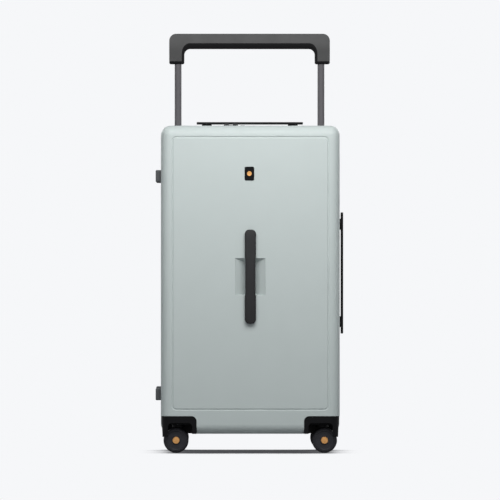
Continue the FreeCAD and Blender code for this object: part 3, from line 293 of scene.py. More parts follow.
def pan(build, box_x, box_z, radius, lines_x, lines_z, face, rim, depth_at, hole):
    """A five-sided tray in a mesh under construction: a rim, walls, a rounded edge and a face grid.
    Returns the rim's vertices and the vertices of the grid cell that is left open."""
    way = 1 if rim > face else -1
    levels = [(rim, 0)]
    for step in range(CORNER_STEPS + 1):
        angle = math.pi / 2 * step / CORNER_STEPS
        levels.append((face + way * radius * (1 - math.sin(angle)), radius * (1 - math.cos(angle))))
    rings = []
    for y, inset in levels:
        shrunk_x, shrunk_z = [(ends[0] + inset, ends[1] - inset) for ends in (box_x, box_z)]
        ring = case_ring(shrunk_x, shrunk_z, radius - inset, lines_x[1:-1], lines_z[1:-1])
        rings.append([build.verts.new((x, y, z)) for x, z in ring])
    skin(build, rings)
    grid = [[build.verts.new((x, face + way * depth_at(x, z), z)) for z in lines_z] for x in lines_x]
    open_cell = None
    for column in range(len(lines_x) - 1):
        for row in range(len(lines_z) - 1):
            cell = [grid[column][row], grid[column + 1][row],
                    grid[column + 1][row + 1], grid[column][row + 1]]
            if hole == (column, row):
                open_cell = cell
            else:
                build.faces.new(cell)
    return rings[0], open_cell


def dish(build, rim_cell, floor_half, way):
    """The finger scoop in an open cell of the panel: a steep rim, four sloping walls, a narrow floor."""
    (x0, face, z0), (x1, _, z1) = rim_cell[0].co, rim_cell[2].co
    middle = (x0 + x1) / 2
    steps = [(SCOOP_RIM, x0 + SCOOP_RIM_DRAW, x1 - SCOOP_RIM_DRAW, z0 + SCOOP_RIM_DRAW, z1 - SCOOP_RIM_DRAW),
             (SCOOP_DEPTH, middle - floor_half, middle + floor_half,
              z0 + SCOOP_BOTTOM_SLOPE, z1 - SCOOP_TOP_SLOPE)]
    cells = [rim_cell]
    for down, left, right, bottom, top in steps:
        places = [(left, bottom), (right, bottom), (right, top), (left, top)]
        cells.append([build.verts.new((x, face + way * down, z)) for x, z in places])
    skin(build, cells)
    build.faces.new(cells[-1])


def shell_half(name, node, face_low):
    """A closed half shell of even wall, with its crease and, in the lid, its scoop."""
    low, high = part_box(node)
    face, rim, way = (low.y, high.y, 1) if face_low else (high.y, low.y, -1)
    box_x, box_z = (low.x, high.x), (low.z, high.z)
    frame_x = (low.x + FRAME_SIDE, high.x - FRAME_SIDE)
    frame_z = (low.z + FRAME_BOTTOM, high.z - FRAME_TOP)
    ends_x, ends_z = [(ends[0] + SHELL_RADIUS, ends[1] - SHELL_RADIUS) for ends in (box_x, box_z)]
    lines_x = sorted([*ends_x, *edge_lines(frame_x[0], 1), *edge_lines(frame_x[1], -1), *scoop_x])
    lines_z = sorted([*ends_z, *edge_lines(frame_z[0], 1), *edge_lines(frame_z[1], -1), *scoop_z])
    hole = (lines_x.index(scoop_x[0]), lines_z.index(scoop_z[0])) if face_low else None
    build = bmesh.new()
    outer_rim, outer_cell = pan(build, box_x, box_z, SHELL_RADIUS, lines_x, lines_z, face, rim,
                                lambda x, z: crease_depth(x, z, frame_x, frame_z), hole)
    inside_x, inside_z = [(ends[0] + SHELL_WALL, ends[1] - SHELL_WALL) for ends in (box_x, box_z)]
    inner_rim, inner_cell = pan(build, inside_x, inside_z, SHELL_RADIUS - SHELL_WALL,
                                around_scoop(lines_x, scoop_x), around_scoop(lines_z, scoop_z),
                                face + way * SHELL_WALL, rim, lambda x, z: 0, hole)
    skin(build, [inner_rim, outer_rim])
    if hole:
        dish(build, outer_cell, SCOOP_FLOOR_WIDTH / 2, way)
        dish(build, inner_cell, SCOOP_FLOOR_WIDTH / 2 + SHELL_WALL, way)
    bmesh.ops.remove_doubles(build, verts=build.verts, dist=SHELL_WELD)
    bmesh.ops.dissolve_degenerate(build, edges=build.edges, dist=SHELL_WELD)
    bmesh.ops.recalc_face_normals(build, faces=build.faces)
    return as_piece(name, build)


def add_modifier(piece, kind, **fields):
    """Add a modifier with its settings."""
    made = piece.modifiers.new(kind.lower(), kind)
    for name, value in fields.items():
        setattr(made, name, value)


def settle(piece):
    """Turn a piece's modifiers into its mesh."""
    graph = bpy.context.evaluated_depsgraph_get()
    made = bpy.data.meshes.new_from_object(piece.evaluated_get(graph))
    piece.modifiers.clear()
    piece.data = made


def carve(piece, tools, operation="DIFFERENCE"):
    """Cut tools out of a piece, or join them to it, and remove them."""
    for tool in tools:
        add_modifier(piece, "BOOLEAN", operation=operation, solver="EXACT", object=tool)
    settle(piece)
    for tool in tools:
        bpy.data.objects.remove(tool, do_unlink=True)


SAME_PLACE = 1e-7


def block(name, low, high, rounded=(), radius=0, segments=6):
    """A box; the edges whose middles lie at the named sides, such as ("x1", "z1"), are rounded."""
    build = bmesh.new()
    bmesh.ops.create_cube(build, size=1)
    for vert in build.verts:
        for axis in range(3):
            vert.co[axis] = low[axis] if vert.co[axis] < 0 else high[axis]
    chosen = []
    for edge in build.edges:
        middle = (edge.verts[0].co + edge.verts[1].co) / 2
        for pair in rounded:
            sides = [("xyz".index(side[0]), (low, high)[int(side[1])]) for side in pair]
            if all(abs(middle[axis] - corner[axis]) < SAME_PLACE for axis, corner in sides):
                chosen.append(edge)
    if chosen:
        bmesh.ops.bevel(build, geom=chosen, offset=radius, segments=segments, profile=0.5, affect="EDGES",
                        clamp_overlap=True)
    return as_piece(name, build)


SHARP_FROM = math.radians(50)
NORMAL_WEIGHT = 80


def soften(piece, width, angle=30, segments=2):
    """Round a piece's sharp edges a little, and shade it smooth with even normals."""
    if width:
        add_modifier(piece, "BEVEL", width=width, segments=segments, limit_method="ANGLE",
                     angle_limit=math.radians(angle), use_clamp_overlap=True, harden_normals=False)
        settle(piece)
    piece.data.shade_smooth()
    piece.data.set_sharp_from_angle(angle=SHARP_FROM)
    add_modifier(piece, "WEIGHTED_NORMAL", keep_sharp=True, weight=NORMAL_WEIGHT)


def fit(piece, body, slot, finish, *nodes):
    """Give a piece its material and body, and say which nodes it stands for. The slot is not used."""
    piece.data.materials.append(finish)
    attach(piece, body)
    if nodes:
        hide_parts(*nodes)


def corner_box(side, end, past=0):
    """The lower corner of the case that a wheel housing takes up; past is how far it stands out."""
    low, high = list(case_low), list(case_high)
    for axis, at_low in ((0, side == "left"), (1, end == "front")):
        if at_low:
            low[axis], high[axis] = low[axis] - past, low[axis] + WHEEL_CUT
        else:
            low[axis], high[axis] = high[axis] - WHEEL_CUT, high[axis] + past
    low[2], high[2] = low[2] - past, low[2] + WHEEL_CUT_HEIGHT
    return low, high


def end_boxes(low, high, axis, span):
    """The two ends of a box along an axis, each as long as span."""
    one, two = list(high), list(low)
    one[axis], two[axis] = low[axis] + span, high[axis] - span
    return [(list(low), one), (two, list(high))]


def through_wall(node, axis, end, span, lip):
    """A cutter for the hole in which one end of a node sits, smaller by a lip, and past the wall."""
    low, high = end_boxes(*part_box(node), axis, span)[end]
    low, high = [value + lip for value in low], [value - lip for value in high]
    high[0 if axis == 2 else 2] += CUT_PAST
    return block("hole", low, high)


lid_shell = shell_half("lid_shell", "front_shell", True)
rear_half = shell_half("rear_half_shell", "rear_shell", False)
for shell, end in ((lid_shell, "front"), (rear_half, "rear")):
    tools = []
    for side in ("left", "right"):
        inner_x, inner_y = ("x1" if side == "left" else "x0"), ("y1" if end == "front" else "y0")
        edges = ((inner_x, "z1"), (inner_y, "z1"), (inner_x, inner_y))
        tools.append(block("cut", *corner_box(side, end, CUT_PAST), edges, WHEEL_CUT_RADIUS))
    if end == "rear":
        tools.append(through_wall("lock_body", 0, 0, LOCK_LENGTH, LOCK_LIP))
        tools += [through_wall("trolley_wells", 0, part, WELL_LENGTH, WELL_LIP) for part in (0, 1)]
        tools += [through_wall("top_handle_guides", 0, part, TOP_MOUNT, MOUNT_LIP) for part in (0, 1)]
        tools += [through_wall("side_handle_guides", 2, part, SIDE_MOUNT, MOUNT_LIP) for part in (0, 1)]
    carve(shell, tools)
    soften(shell, CUT_ROUNDING)

# Matt polycarbonate with a fine moulded grain; the grain is drawn at 0.8 mm, coarser than the real
# 0.15 mm, so that it holds at the size of the picture.
polycarbonate, tree = new_finish("textured_polycarbonate")
place = add_node(tree, "ShaderNodeTexCoord").outputs["Object"]
grain = add_node(tree, "ShaderNodeTexNoise", {"Vector": place, "Scale": 1 / (0.8 * MM), "Detail": 2.0})
cloud = add_node(tree, "ShaderNodeTexNoise", {"Vector": place, "Scale": 1 / (60 * MM), "Detail": 3.0})
tint = add_node(tree, "ShaderNodeMix", {0: cloud.outputs["Fac"], 6: linear("#bac3c1"), 7: linear("#bec7c5")},
                data_type="RGBA")
rough = add_node(tree, "ShaderNodeMapRange", {0: cloud.outputs["Fac"], 3: 0.46, 4: 0.58})
relief = add_node(tree, "ShaderNodeBump",
                  {"Height": grain.outputs["Fac"], "Strength": 0.35, "Distance": 0.15 * MM})
surface = add_node(tree, "ShaderNodeBsdfPrincipled",
                   {"Base Color": tint.outputs[2], "Roughness": rough.outputs[0], "IOR": 1.585,
                    "Specular IOR Level": 0.3, "Normal": relief.outputs[0]})
add_node(tree, "ShaderNodeOutputMaterial", {"Surface": surface.outputs[0]})
fit(lid_shell, "lid", "shell", polycarbonate, "front_shell")
fit(rear_half, "rear_case", "shell", polycarbonate, "rear_shell")

# Wheel housings
# Moulded black nylon corners, screwed behind the edges of the shell. Each has a round bay in which
# a pair of wheels swivels, and a shallow window in both of its outer faces.

HOUSING_EDGE = 0.7 * MM
HOUSING_INSET = 1 * MM
WINDOW_FROM_SIDE = 16 * MM
WINDOW_WIDTH = 56 * MM
WINDOW_TOP = 69 * MM
WINDOW_DEPTH = 22 * MM
WINDOW_RADIUS = 9 * MM
WINDOW_PAST = 5 * MM
SKIRT_TAPER = 2.6 * MM
SKIRT_TAPER_REACH = 3.4 * MM
SKIRT_FROM = 84 * MM
SKIRT_TO = 37 * MM
SKIRT_TOP = 66 * MM
SKIRT_STEPS = 12
SKIRT_CUT_TOP = 1.0
BAY_FROM_SIDE = 40.3 * MM
BAY_STEPS = 96
# The bay's outline in mm: radius and height.
BAY_OUTLINE = ((0, 32), (35.6, 32), (35.6, 60), (0, 60))
STAND_ON_END = Matrix(((1, 0, 0, 0), (0, 0, -1, 0), (0, 1, 0, 0), (0, 0, 0, 1)))
COPY_WELD = 0.005 * MM
FINE_WELD = 0.001 * MM
FLAT_WITHIN = math.radians(0.5)


def copied(name, node):
    """A piece with the shape of a node, its triangles joined into flat faces."""
    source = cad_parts[node]
    build = bmesh.new()
    build.from_mesh(source.data)
    build.transform(source.matrix_world)
    bmesh.ops.remove_doubles(build, verts=build.verts, dist=COPY_WELD)
    bmesh.ops.dissolve_limit(build, angle_limit=FLAT_WITHIN, verts=build.verts, edges=build.edges)
    return as_piece(name, build)


def lathed(name, outlines, steps):
    """A solid turned about Y from outlines in mm: each is a material's number, and radii with distances."""
    build = bmesh.new()
    angles = [2 * math.pi * step / steps for step in range(steps)]
    rings, numbers = [], []
    for number, outline in outlines:
        for radius, along in outline:
            ring = [(radius * MM * math.cos(a), along * MM, radius * MM * math.sin(a)) for a in angles]
            rings.append([build.verts.new(point) for point in ring])
            numbers.append(number)
    for one, two, number in zip(rings, rings[1:], numbers[1:]):
        for face in skin(build, [one, two]):
            face.material_index = number
    bmesh.ops.remove_doubles(build, verts=build.verts, dist=FINE_WELD)
    bmesh.ops.dissolve_degenerate(build, edges=build.edges, dist=FINE_WELD)
    bmesh.ops.recalc_face_normals(build, faces=build.faces)
    return as_piece(name, build)


def stretch(start, way, near, far):
    """The two ends, in order, of what lies between near and far from a place in one direction."""
    return sorted((start + way * near, start + way * far))


# Black glass-filled nylon, satin from the mould; a faint grain of 0.6 mm breaks up its shine.
black_nylon, tree = new_finish("black_nylon")
place = add_node(tree, "ShaderNodeTexCoord").outputs["Object"]
grain = add_node(tree, "ShaderNodeTexNoise", {"Vector": place, "Scale": 1 / (0.6 * MM), "Detail": 2.0})
scuff = add_node(tree, "ShaderNodeTexNoise", {"Vector": place, "Scale": 1 / (18 * MM), "Detail": 4.0})
rough = add_node(tree, "ShaderNodeMapRange", {0: scuff.outputs["Fac"], 3: 0.5, 4: 0.68})
relief = add_node(tree, "ShaderNodeBump",
                  {"Height": grain.outputs["Fac"], "Strength": 0.4, "Distance": 0.15 * MM})
surface = add_node(tree, "ShaderNodeBsdfPrincipled",
                   {"Base Color": linear("#0a0a0c"), "Roughness": rough.outputs[0], "IOR": 1.53,
                    "Specular IOR Level": 0.08, "Normal": relief.outputs[0]})
add_node(tree, "ShaderNodeOutputMaterial", {"Surface": surface.outputs[0]})

for end, body in (("front", "lid"), ("rear", "rear_case")):
    for side in ("left", "right"):
        node = f"{end}_{side}_wheel_housing"
        flank, inward = (case_low.x, 1) if side == "left" else (case_high.x, -1)
        face, back = (case_low.y, 1) if end == "front" else (case_high.y, -1)
        piece = copied(f"{end}_{side}_housing", node)
        window_x = stretch(flank, inward, WINDOW_FROM_SIDE, WINDOW_FROM_SIDE + WINDOW_WIDTH)
        window_y = stretch(face, back, -WINDOW_PAST, HOUSING_INSET + WINDOW_DEPTH)
        window = block("window", *zip(window_x, window_y, (0, WINDOW_TOP)), (("x0", "z1"), ("x1", "z1")),
                       WINDOW_RADIUS)
        side_x = stretch(flank, inward, -WINDOW_PAST, HOUSING_INSET + WINDOW_DEPTH)
        side_y = stretch(face, back, WINDOW_FROM_SIDE, WINDOW_FROM_SIDE + WINDOW_WIDTH)
        side_window = block("window", *zip(side_x, side_y, (0, WINDOW_TOP)), (("y0", "z1"), ("y1", "z1")),
                            WINDOW_RADIUS)
        whole_x = stretch(flank, inward, HOUSING_INSET, WHEEL_CUT - HOUSING_INSET)
        whole_y = stretch(face, back, HOUSING_INSET, WHEEL_CUT - HOUSING_INSET)
        corner = ("x0" if side == "left" else "x1", "y0" if end == "front" else "y1")
        whole = block("whole", *zip(whole_x, whole_y, (SKIRT_TO, SKIRT_TOP)), (corner,),
                      SHELL_RADIUS - HOUSING_INSET, SKIRT_STEPS)
        skirt_x = stretch(flank, inward, -HOUSING_INSET, WINDOW_FROM_SIDE)
        skirt_y = stretch(face, back, -HOUSING_INSET, WINDOW_FROM_SIDE)
        skirt = block("skirt", *zip(skirt_x, skirt_y, (0, SKIRT_CUT_TOP)))
        carve(skirt, [whole], "INTERSECT")
        carve(piece, [skirt], "UNION")
        bay = lathed("bay", ((0, BAY_OUTLINE),), BAY_STEPS)
        swivel = (flank + inward * BAY_FROM_SIDE, face + back * BAY_FROM_SIDE, 0)
        bay.data.transform(Matrix.Translation(swivel) @ STAND_ON_END)
        carve(piece, [window, side_window, bay])
        for vert in piece.data.vertices:
            down = min(max((SKIRT_FROM - vert.co.z) / (SKIRT_FROM - SKIRT_TO), 0), 1)
            nearness = 1 - min(max((abs(vert.co.x - flank) - HOUSING_INSET) / SKIRT_TAPER_REACH, 0), 1)
            vert.co.x += inward * SKIRT_TAPER * down * nearness
        soften(piece, HOUSING_EDGE, segments=3)
        fit(piece, body, "black_plastic", black_nylon, node)

# Casters
# A nylon fork hangs from a steel kingpin in each housing and carries two polyurethane wheels on one
# axle. Each wheel is a tyre moulded on a dished hub, with a bronze cap over the axle's end.

FORK_EDGE = 0.6 * MM
PIN_EDGE = 0.3 * MM
WHEEL_STEPS = 72
HUB_LOBES = 5
LOBE_DEPTH = 0.5 * MM
LOBE_RADIUS = 15 * MM
LOBE_BAND = 0.5 * MM
# The wheel's outlines in mm: radius, and distance out from its inner face.
BACK_OUTLINE = ((3.4, 0.4), (21.6, 0.4), (23.4, 0.3))
TYRE_OUTLINE = ((24.2, 0.3), (24.6, 0), (25.6, 0.05), (26.6, 0.5), (27.6, 1.3), (28.3, 2.4), (28.7, 3.6),
                (28.8, 4.6), (28.5, 4.8), (28.5, 5.5), (28.8, 5.7), (28.8, 6.9), (28.5, 7.1), (28.5, 7.8),
                (28.7, 8.4), (28.3, 9.6), (27.6, 10.7), (26.6, 11.5), (25.6, 11.95), (24.6, 12),
                (24.2, 11.8), (24.0, 11.1))
HUB_OUTLINE = ((23.6, 11.1), (23.4, 11.5), (21.9, 11.6), (21.4, 11.4), (20.6, 10.5), (20.0, 10.3),
               (15.0, 10.3), (10.4, 10.3), (9.8, 10.5), (9.2, 11.2), (8.6, 11.4), (8.2, 11.3), (8.1, 10.6))
CAP_OUTLINE = ((7.8, 10.6), (7.7, 11.3), (7.3, 11.7), (6.6, 11.8), (6.2, 11.6), (5.7, 11.6), (4.0, 11.75),
               (2.0, 11.85), (0, 11.9))
TYRE, HUB, CAP = 0, 1, 2


def scuffed(name, dark, pale, patch, relief, roughness, ior, specular):
    """A matt finish in two tones: dust or scuffs in patches of a real size, which are its relief too."""
    finish, tree = new_finish(name)
    place = add_node(tree, "ShaderNodeTexCoord").outputs["Object"]
    dust = add_node(tree, "ShaderNodeTexNoise", {"Vector": place, "Scale": 1 / patch, "Detail": 5.0})
    tint = add_node(tree, "ShaderNodeMix", {0: dust.outputs["Fac"], 6: linear(dark), 7: linear(pale)},
                    data_type="RGBA")
    bumps = add_node(tree, "ShaderNodeBump",
                     {"Height": dust.outputs["Fac"], "Strength": relief, "Distance": 0.2 * MM})
    surface = add_node(tree, "ShaderNodeBsdfPrincipled",
                       {"Base Color": tint.outputs[2], "Roughness": roughness, "IOR": ior,
                        "Specular IOR Level": specular, "Normal": bumps.outputs[0]})
    add_node(tree, "ShaderNodeOutputMaterial", {"Surface": surface.outputs[0]})
    return finish


def moulded(name, tone, grain, detail, smooth, dull, ior, specular, relief=0):
    """A finish of one tone, smoother and duller in grains of a real size, with their relief or none."""
    finish, tree = new_finish(name)
    place = add_node(tree, "ShaderNodeTexCoord").outputs["Object"]
    cloud = add_node(tree, "ShaderNodeTexNoise", {"Vector": place, "Scale": 1 / grain, "Detail": detail})
    rough = add_node(tree, "ShaderNodeMapRange", {0: cloud.outputs["Fac"], 3: smooth, 4: dull})
    look = {"Base Color": linear(tone), "Roughness": rough.outputs[0], "IOR": ior,
            "Specular IOR Level": specular}
    if relief:
        bumps = add_node(tree, "ShaderNodeBump",
                         {"Height": cloud.outputs["Fac"], "Strength": relief, "Distance": 0.1 * MM})
        look["Normal"] = bumps.outputs[0]
    surface = add_node(tree, "ShaderNodeBsdfPrincipled", look)
    add_node(tree, "ShaderNodeOutputMaterial", {"Surface": surface.outputs[0]})
    return finish


# Cast polyurethane: dark, rubbery and rather matt, with street dust worn into the tread.
tyre_rubber = scuffed("cast_polyurethane", "#19191d", "#28282d", patch=5 * MM, relief=0.15, roughness=0.6,
                      ior=1.5, specular=0.25)

# Moulded ABS of the hub, smoother and a little greyer than the tyre.
hub_abs = moulded("moulded_hub_abs", "#242429", grain=9 * MM, detail=3.0, smooth=0.38, dull=0.5, ior=1.54,
                  specular=0.2)

# Bronze lacquer over metal: warm, with a soft sheen that varies in grains of 0.5 mm.
bronze, tree = new_finish("lacquered_bronze")
place = add_node(tree, "ShaderNodeTexCoord").outputs["Object"]
cloud = add_node(tree, "ShaderNodeTexNoise", {"Vector": place, "Scale": 1 / (0.5 * MM), "Detail": 2.0})
rough = add_node(tree, "ShaderNodeMapRange", {0: cloud.outputs["Fac"], 3: 0.32, 4: 0.45})
surface = add_node(tree, "ShaderNodeBsdfPrincipled",
                   {"Base Color": linear("#be8c54"), "Metallic": 0.75, "Roughness": rough.outputs[0]})
add_node(tree, "ShaderNodeOutputMaterial", {"Surface": surface.outputs[0]})

# Zinc-plated steel: pale grey with a fine crystalline mottle of about 2 mm.
zinc_steel, tree = new_finish("zinc_plated_steel")
place = add_node(tree, "ShaderNodeTexCoord").outputs["Object"]
spangle = add_node(tree, "ShaderNodeTexVoronoi", {"Vector": place, "Scale": 1 / (2 * MM)})
rough = add_node(tree, "ShaderNodeMapRange", {0: spangle.outputs["Distance"], 3: 0.28, 4: 0.45})
surface = add_node(tree, "ShaderNodeBsdfPrincipled",
                   {"Base Color": linear("#a3a6a8"), "Metallic": 1.0, "Roughness": rough.outputs[0]})
add_node(tree, "ShaderNodeOutputMaterial", {"Surface": surface.outputs[0]})


def carried_over(name, node, body, slot, finish, edge, segments=2):
    """A piece with a node's own shape and rounded edges, fitted in its place."""
    piece = copied(name, node)
    soften(piece, edge, segments=segments)
    fit(piece, body, slot, finish, node)


for end in ("front", "rear"):
    for side in ("left", "right"):
        caster = f"{end}_{side}_caster"
        carried_over(f"{end}_{side}_fork", f"{caster}_fork", caster, "black_plastic", black_nylon, FORK_EDGE)
        carried_over(f"{end}_{side}_pins", f"{caster}_pins", caster, "steel", zinc_steel, PIN_EDGE)
        for letter, faces_front in (("a", True), ("b", False)):
            node = f"{end}_{side}_wheel_{letter}"
            low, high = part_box(node)
            outlines = ((HUB, BACK_OUTLINE), (TYRE, TYRE_OUTLINE), (HUB, HUB_OUTLINE), (CAP, CAP_OUTLINE))
            wheel = lathed(f"{end}_{side}_roller_{letter}", outlines, WHEEL_STEPS)
            for vert in wheel.data.vertices:
                if abs(math.hypot(vert.co.x, vert.co.z) - LOBE_RADIUS) < LOBE_BAND:
                    turn = math.atan2(vert.co.z, vert.co.x)
                    vert.co.y -= LOBE_DEPTH * (0.5 + 0.5 * math.cos(HUB_LOBES * turn))
            turned_out = Matrix.Rotation(math.pi if faces_front else 0, 4, "Z")
            inner_y = high.y if faces_front else low.y
            middle = Vector(((low.x + high.x) / 2, inner_y, (low.z + high.z) / 2))
            wheel.data.transform(Matrix.Translation(middle) @ turned_out)
            soften(wheel, 0)
            for finish in (tyre_rubber, hub_abs):
                wheel.data.materials.append(finish)
            fit(wheel, node, "tyre", bronze, node)

# Front grip
# An upright bar of charcoal ABS bolted over the scoop from inside, waisted where the fingers go
# behind it. A pad is raised along its face inside a shallow groove.

GRIP_RADIUS = 10.5 * MM
GRIP_ROUND = 4 * MM
GRIP_ROUND_STEPS = 6
GRIP_ROUND_DRAW = 0.9
GRIP_WAIST = 1.2 * MM
GRIP_WAIST_HALF = 41 * MM
GRIP_WAIST_RUN = 3.5 * MM
GRIP_STEP = 1.2 * MM
# Profiles in mm. At the back: forward from the panel, and how far the edge is drawn in. At the pad:
# back from the grip's face, and how far in from the face's edge.
GRIP_BACK = ((0, 0.3), (0.4, 0))
GRIP_PAD = ((0.35, 0.3), (0.35, 0.7), (0.05, 1.0), (0, 2.4), (0, 3.6))


def grip_outline(half_width, half_length, inset):
    """The grip seen from the front, drawn in by an inset: straight sides with a waist, round corners."""
    radius = GRIP_RADIUS - inset
    flat = half_width - GRIP_RADIUS
    straight = half_length - GRIP_RADIUS
    count = round(2 * straight / GRIP_STEP)
    points = []
    for side in (1, -1):
        for step in range(count + 1):
            z = side * (-straight + 2 * straight * step / count)
            near = min(max((GRIP_WAIST_HALF + GRIP_WAIST_RUN - abs(z)) / GRIP_WAIST_RUN, 0), 1)
            waist = GRIP_WAIST * near * near * (3 - 2 * near)
            points.append((side * (half_width - waist - inset), z))
        for step in range(1, 2 * CORNER_STEPS):
            angle = math.pi * step / (2 * CORNER_STEPS)
            across = flat * (1 if step < CORNER_STEPS else -1) if step != CORNER_STEPS else 0
            x, z = across + radius * math.cos(angle), straight + radius * math.sin(angle)
            points.append((side * x, side * z))
    return points


def stacked(name, layers):
    """A solid from rings of as many points each, closed at both ends."""
    build = bmesh.new()
    rings = [[build.verts.new(point) for point in layer] for layer in layers]
    skin(build, rings)
    build.faces.new(rings[0])
    build.faces.new(rings[-1])
    bmesh.ops.remove_doubles(build, verts=build.verts, dist=FINE_WELD)
    bmesh.ops.recalc_face_normals(build, faces=build.faces)
    return as_piece(name, build)


low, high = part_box("front_grip")
middle = (low + high) / 2
half_width, half_length = (high.x - low.x) / 2, (high.z - low.z) / 2
steps = [(high.y - forward * MM, draw * MM) for forward, draw in GRIP_BACK] + [(low.y + GRIP_ROUND, 0)]
for step in range(1, GRIP_ROUND_STEPS + 1):
    angle = math.pi / 2 * step / GRIP_ROUND_STEPS
    draw = GRIP_ROUND * (1 - math.cos(angle)) * GRIP_ROUND_DRAW
    steps.append((low.y + GRIP_ROUND * (1 - math.sin(angle)), draw))
edge = steps[-1][1]
steps += [(low.y + deep * MM, edge + inward * MM) for deep, inward in GRIP_PAD]
layers = []
for y, inset in steps:
    outline = grip_outline(half_width, half_length, inset)
    layers.append([(middle.x + x, y, middle.z + z) for x, z in outline])
front_handle = stacked("front_handle", layers)
soften(front_handle, 0)


def rubbed_abs(name, heights, blend, tones, haze_size, relief, roughness, specular):
    """Grained ABS with painted shade: from one tone below to another above, between two heights, as light
    falls from above, and a haze.
    """
    finish, tree = new_finish(name)
    place = add_node(tree, "ShaderNodeTexCoord").outputs["Object"]
    grain = add_node(tree, "ShaderNodeTexNoise", {"Vector": place, "Scale": 1 / (0.7 * MM), "Detail": 3.0})
    haze = add_node(tree, "ShaderNodeTexNoise", {"Vector": place, "Scale": 1 / haze_size, "Detail": 3.0})
    height = add_node(tree, "ShaderNodeSeparateXYZ", {0: place})
    # Painted shade: darker below the first height and paler above the second.
    upper = add_node(tree, "ShaderNodeMapRange", {0: height.outputs["Z"], 1: heights[0], 2: heights[1]},
                     interpolation_type=blend)
    shaded_tone, lit_tone, haze_tone = [linear(tone) for tone in tones]
    shade = add_node(tree, "ShaderNodeMix", {0: upper.outputs[0], 6: shaded_tone, 7: lit_tone},
                     data_type="RGBA")
    tint = add_node(tree, "ShaderNodeMix", {0: haze.outputs["Fac"], 6: shade.outputs[2], 7: haze_tone},
                    data_type="RGBA")
    bumps = add_node(tree, "ShaderNodeBump",
                     {"Height": grain.outputs["Fac"], "Strength": relief, "Distance": 0.1 * MM})
    surface = add_node(tree, "ShaderNodeBsdfPrincipled",
                       {"Base Color": tint.outputs[2], "Roughness": roughness, "IOR": 1.54,
                        "Specular IOR Level": specular, "Normal": bumps.outputs[0]})
    add_node(tree, "ShaderNodeOutputMaterial", {"Surface": surface.outputs[0]})
    return finish


# Charcoal ABS with a spark-eroded texture: matt, its grain drawn at 0.7 mm so that it shows. Painted
# shade: it is paler at its upper end and darker at its lower, as light falls from above.
charcoal_abs = rubbed_abs("charcoal_abs", (low.z, high.z), "LINEAR", ("#1f1f20", "#3c3c3d", "#2a2a2b"),
                          haze_size=25 * MM, relief=0.3, roughness=0.6, specular=0.12)
fit(front_handle, "lid", "charcoal_plastic", charcoal_abs, "front_grip")

# Badge
# A small plate of black nylon glued to the panel, with a raised rim round its sunk field. A plain
# round bronze inlay is pressed into the field.

BADGE_LEFT = 2.2 * MM
BADGE_RADIUS = 3.4 * MM
BADGE_THICKNESS = 1.2 * MM
INLAY_STEPS = 40
# Profiles in mm: back from the plate's front, and how far in from its edge; the inlay's radius, and
# back from the plate's front.
BADGE_PROFILE = ((0.4, 0), (0.1, 0.15), (0, 0.4), (0, 1.4), (0.5, 1.7))
INLAY_OUTLINE = ((5.4, 0.7), (5.4, -0.1), (5.1, -0.35), (4.6, -0.4), (4.3, -0.15), (0, -0.3))


def rounded_outline(half_x, half_z, radius, steps=6):
    """A rounded rectangle about the origin."""
    points = []
    for corner in range(4):
        centre_x = (half_x - radius) * (1 if corner in (0, 3) else -1)
        centre_z = (half_z - radius) * (1 if corner in (0, 1) else -1)
        for step in range(steps + 1):
            angle = math.pi / 2 * (corner + step / steps)
            points.append((centre_x + radius * math.cos(angle), centre_z + radius * math.sin(angle)))
    return points


low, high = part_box("badge_plate")
plate_front = high.y - BADGE_THICKNESS
middle = (low + high) / 2
half_x, half_z = (high.x - low.x) / 2, (high.z - low.z) / 2
layers = []
for y, inset in [(high.y, 0)] + [(plate_front + deep * MM, inward * MM) for deep, inward in BADGE_PROFILE]:
    outline = rounded_outline(half_x - inset, half_z - inset, BADGE_RADIUS - inset)
    layers.append([(middle.x - BADGE_LEFT + x, y, middle.z + z) for x, z in outline])
badge = stacked("badge", layers)
soften(badge, 0)
fit(badge, "lid", "black_plastic", black_nylon, "badge_plate")
inlay = lathed("badge_inlay", ((0, INLAY_OUTLINE),), INLAY_STEPS)
inlay.data.transform(Matrix.Translation((middle.x - BADGE_LEFT, plate_front, middle.z)))
soften(inlay, 0)
fit(inlay, "lid", "black_plastic", bronze)

# Side feet
# Four charcoal pads screwed to the left flank, on which the case can lie. Each is a rounded block with
# three grooves across its tread.

FOOT_LENGTH = 40 * MM
FOOT_WIDTH = 27.4 * MM
FOOT_RADIUS = 4 * MM
FOOT_RADIUS_DRAW = 0.9
FOOT_FROM_TOP = 14 * MM
FOOT_FROM_BOTTOM = 13 * MM
FOOT_EDGE = 0.3 * MM
SCREW_EDGE = 0.3 * MM
GROOVE_PITCH = 8 * MM
GROOVE_HALF = 1 * MM
GROOVE_DEPTH = 1.2 * MM
GROOVE_PAST = 1 * MM
# The foot's profile in mm: in from its tread, and how far its edge is drawn in.
FOOT_PROFILE = ((2, 0), (0.8, 0.6), (0, 2))

# The same ABS in a lighter, drier tone, scuffed pale by floors.
foot_abs = scuffed("scuffed_foot_abs", "#4d4f51", "#5c5e60", patch=3 * MM, relief=0.2, roughness=0.65,
                   ior=1.54, specular=0.15)

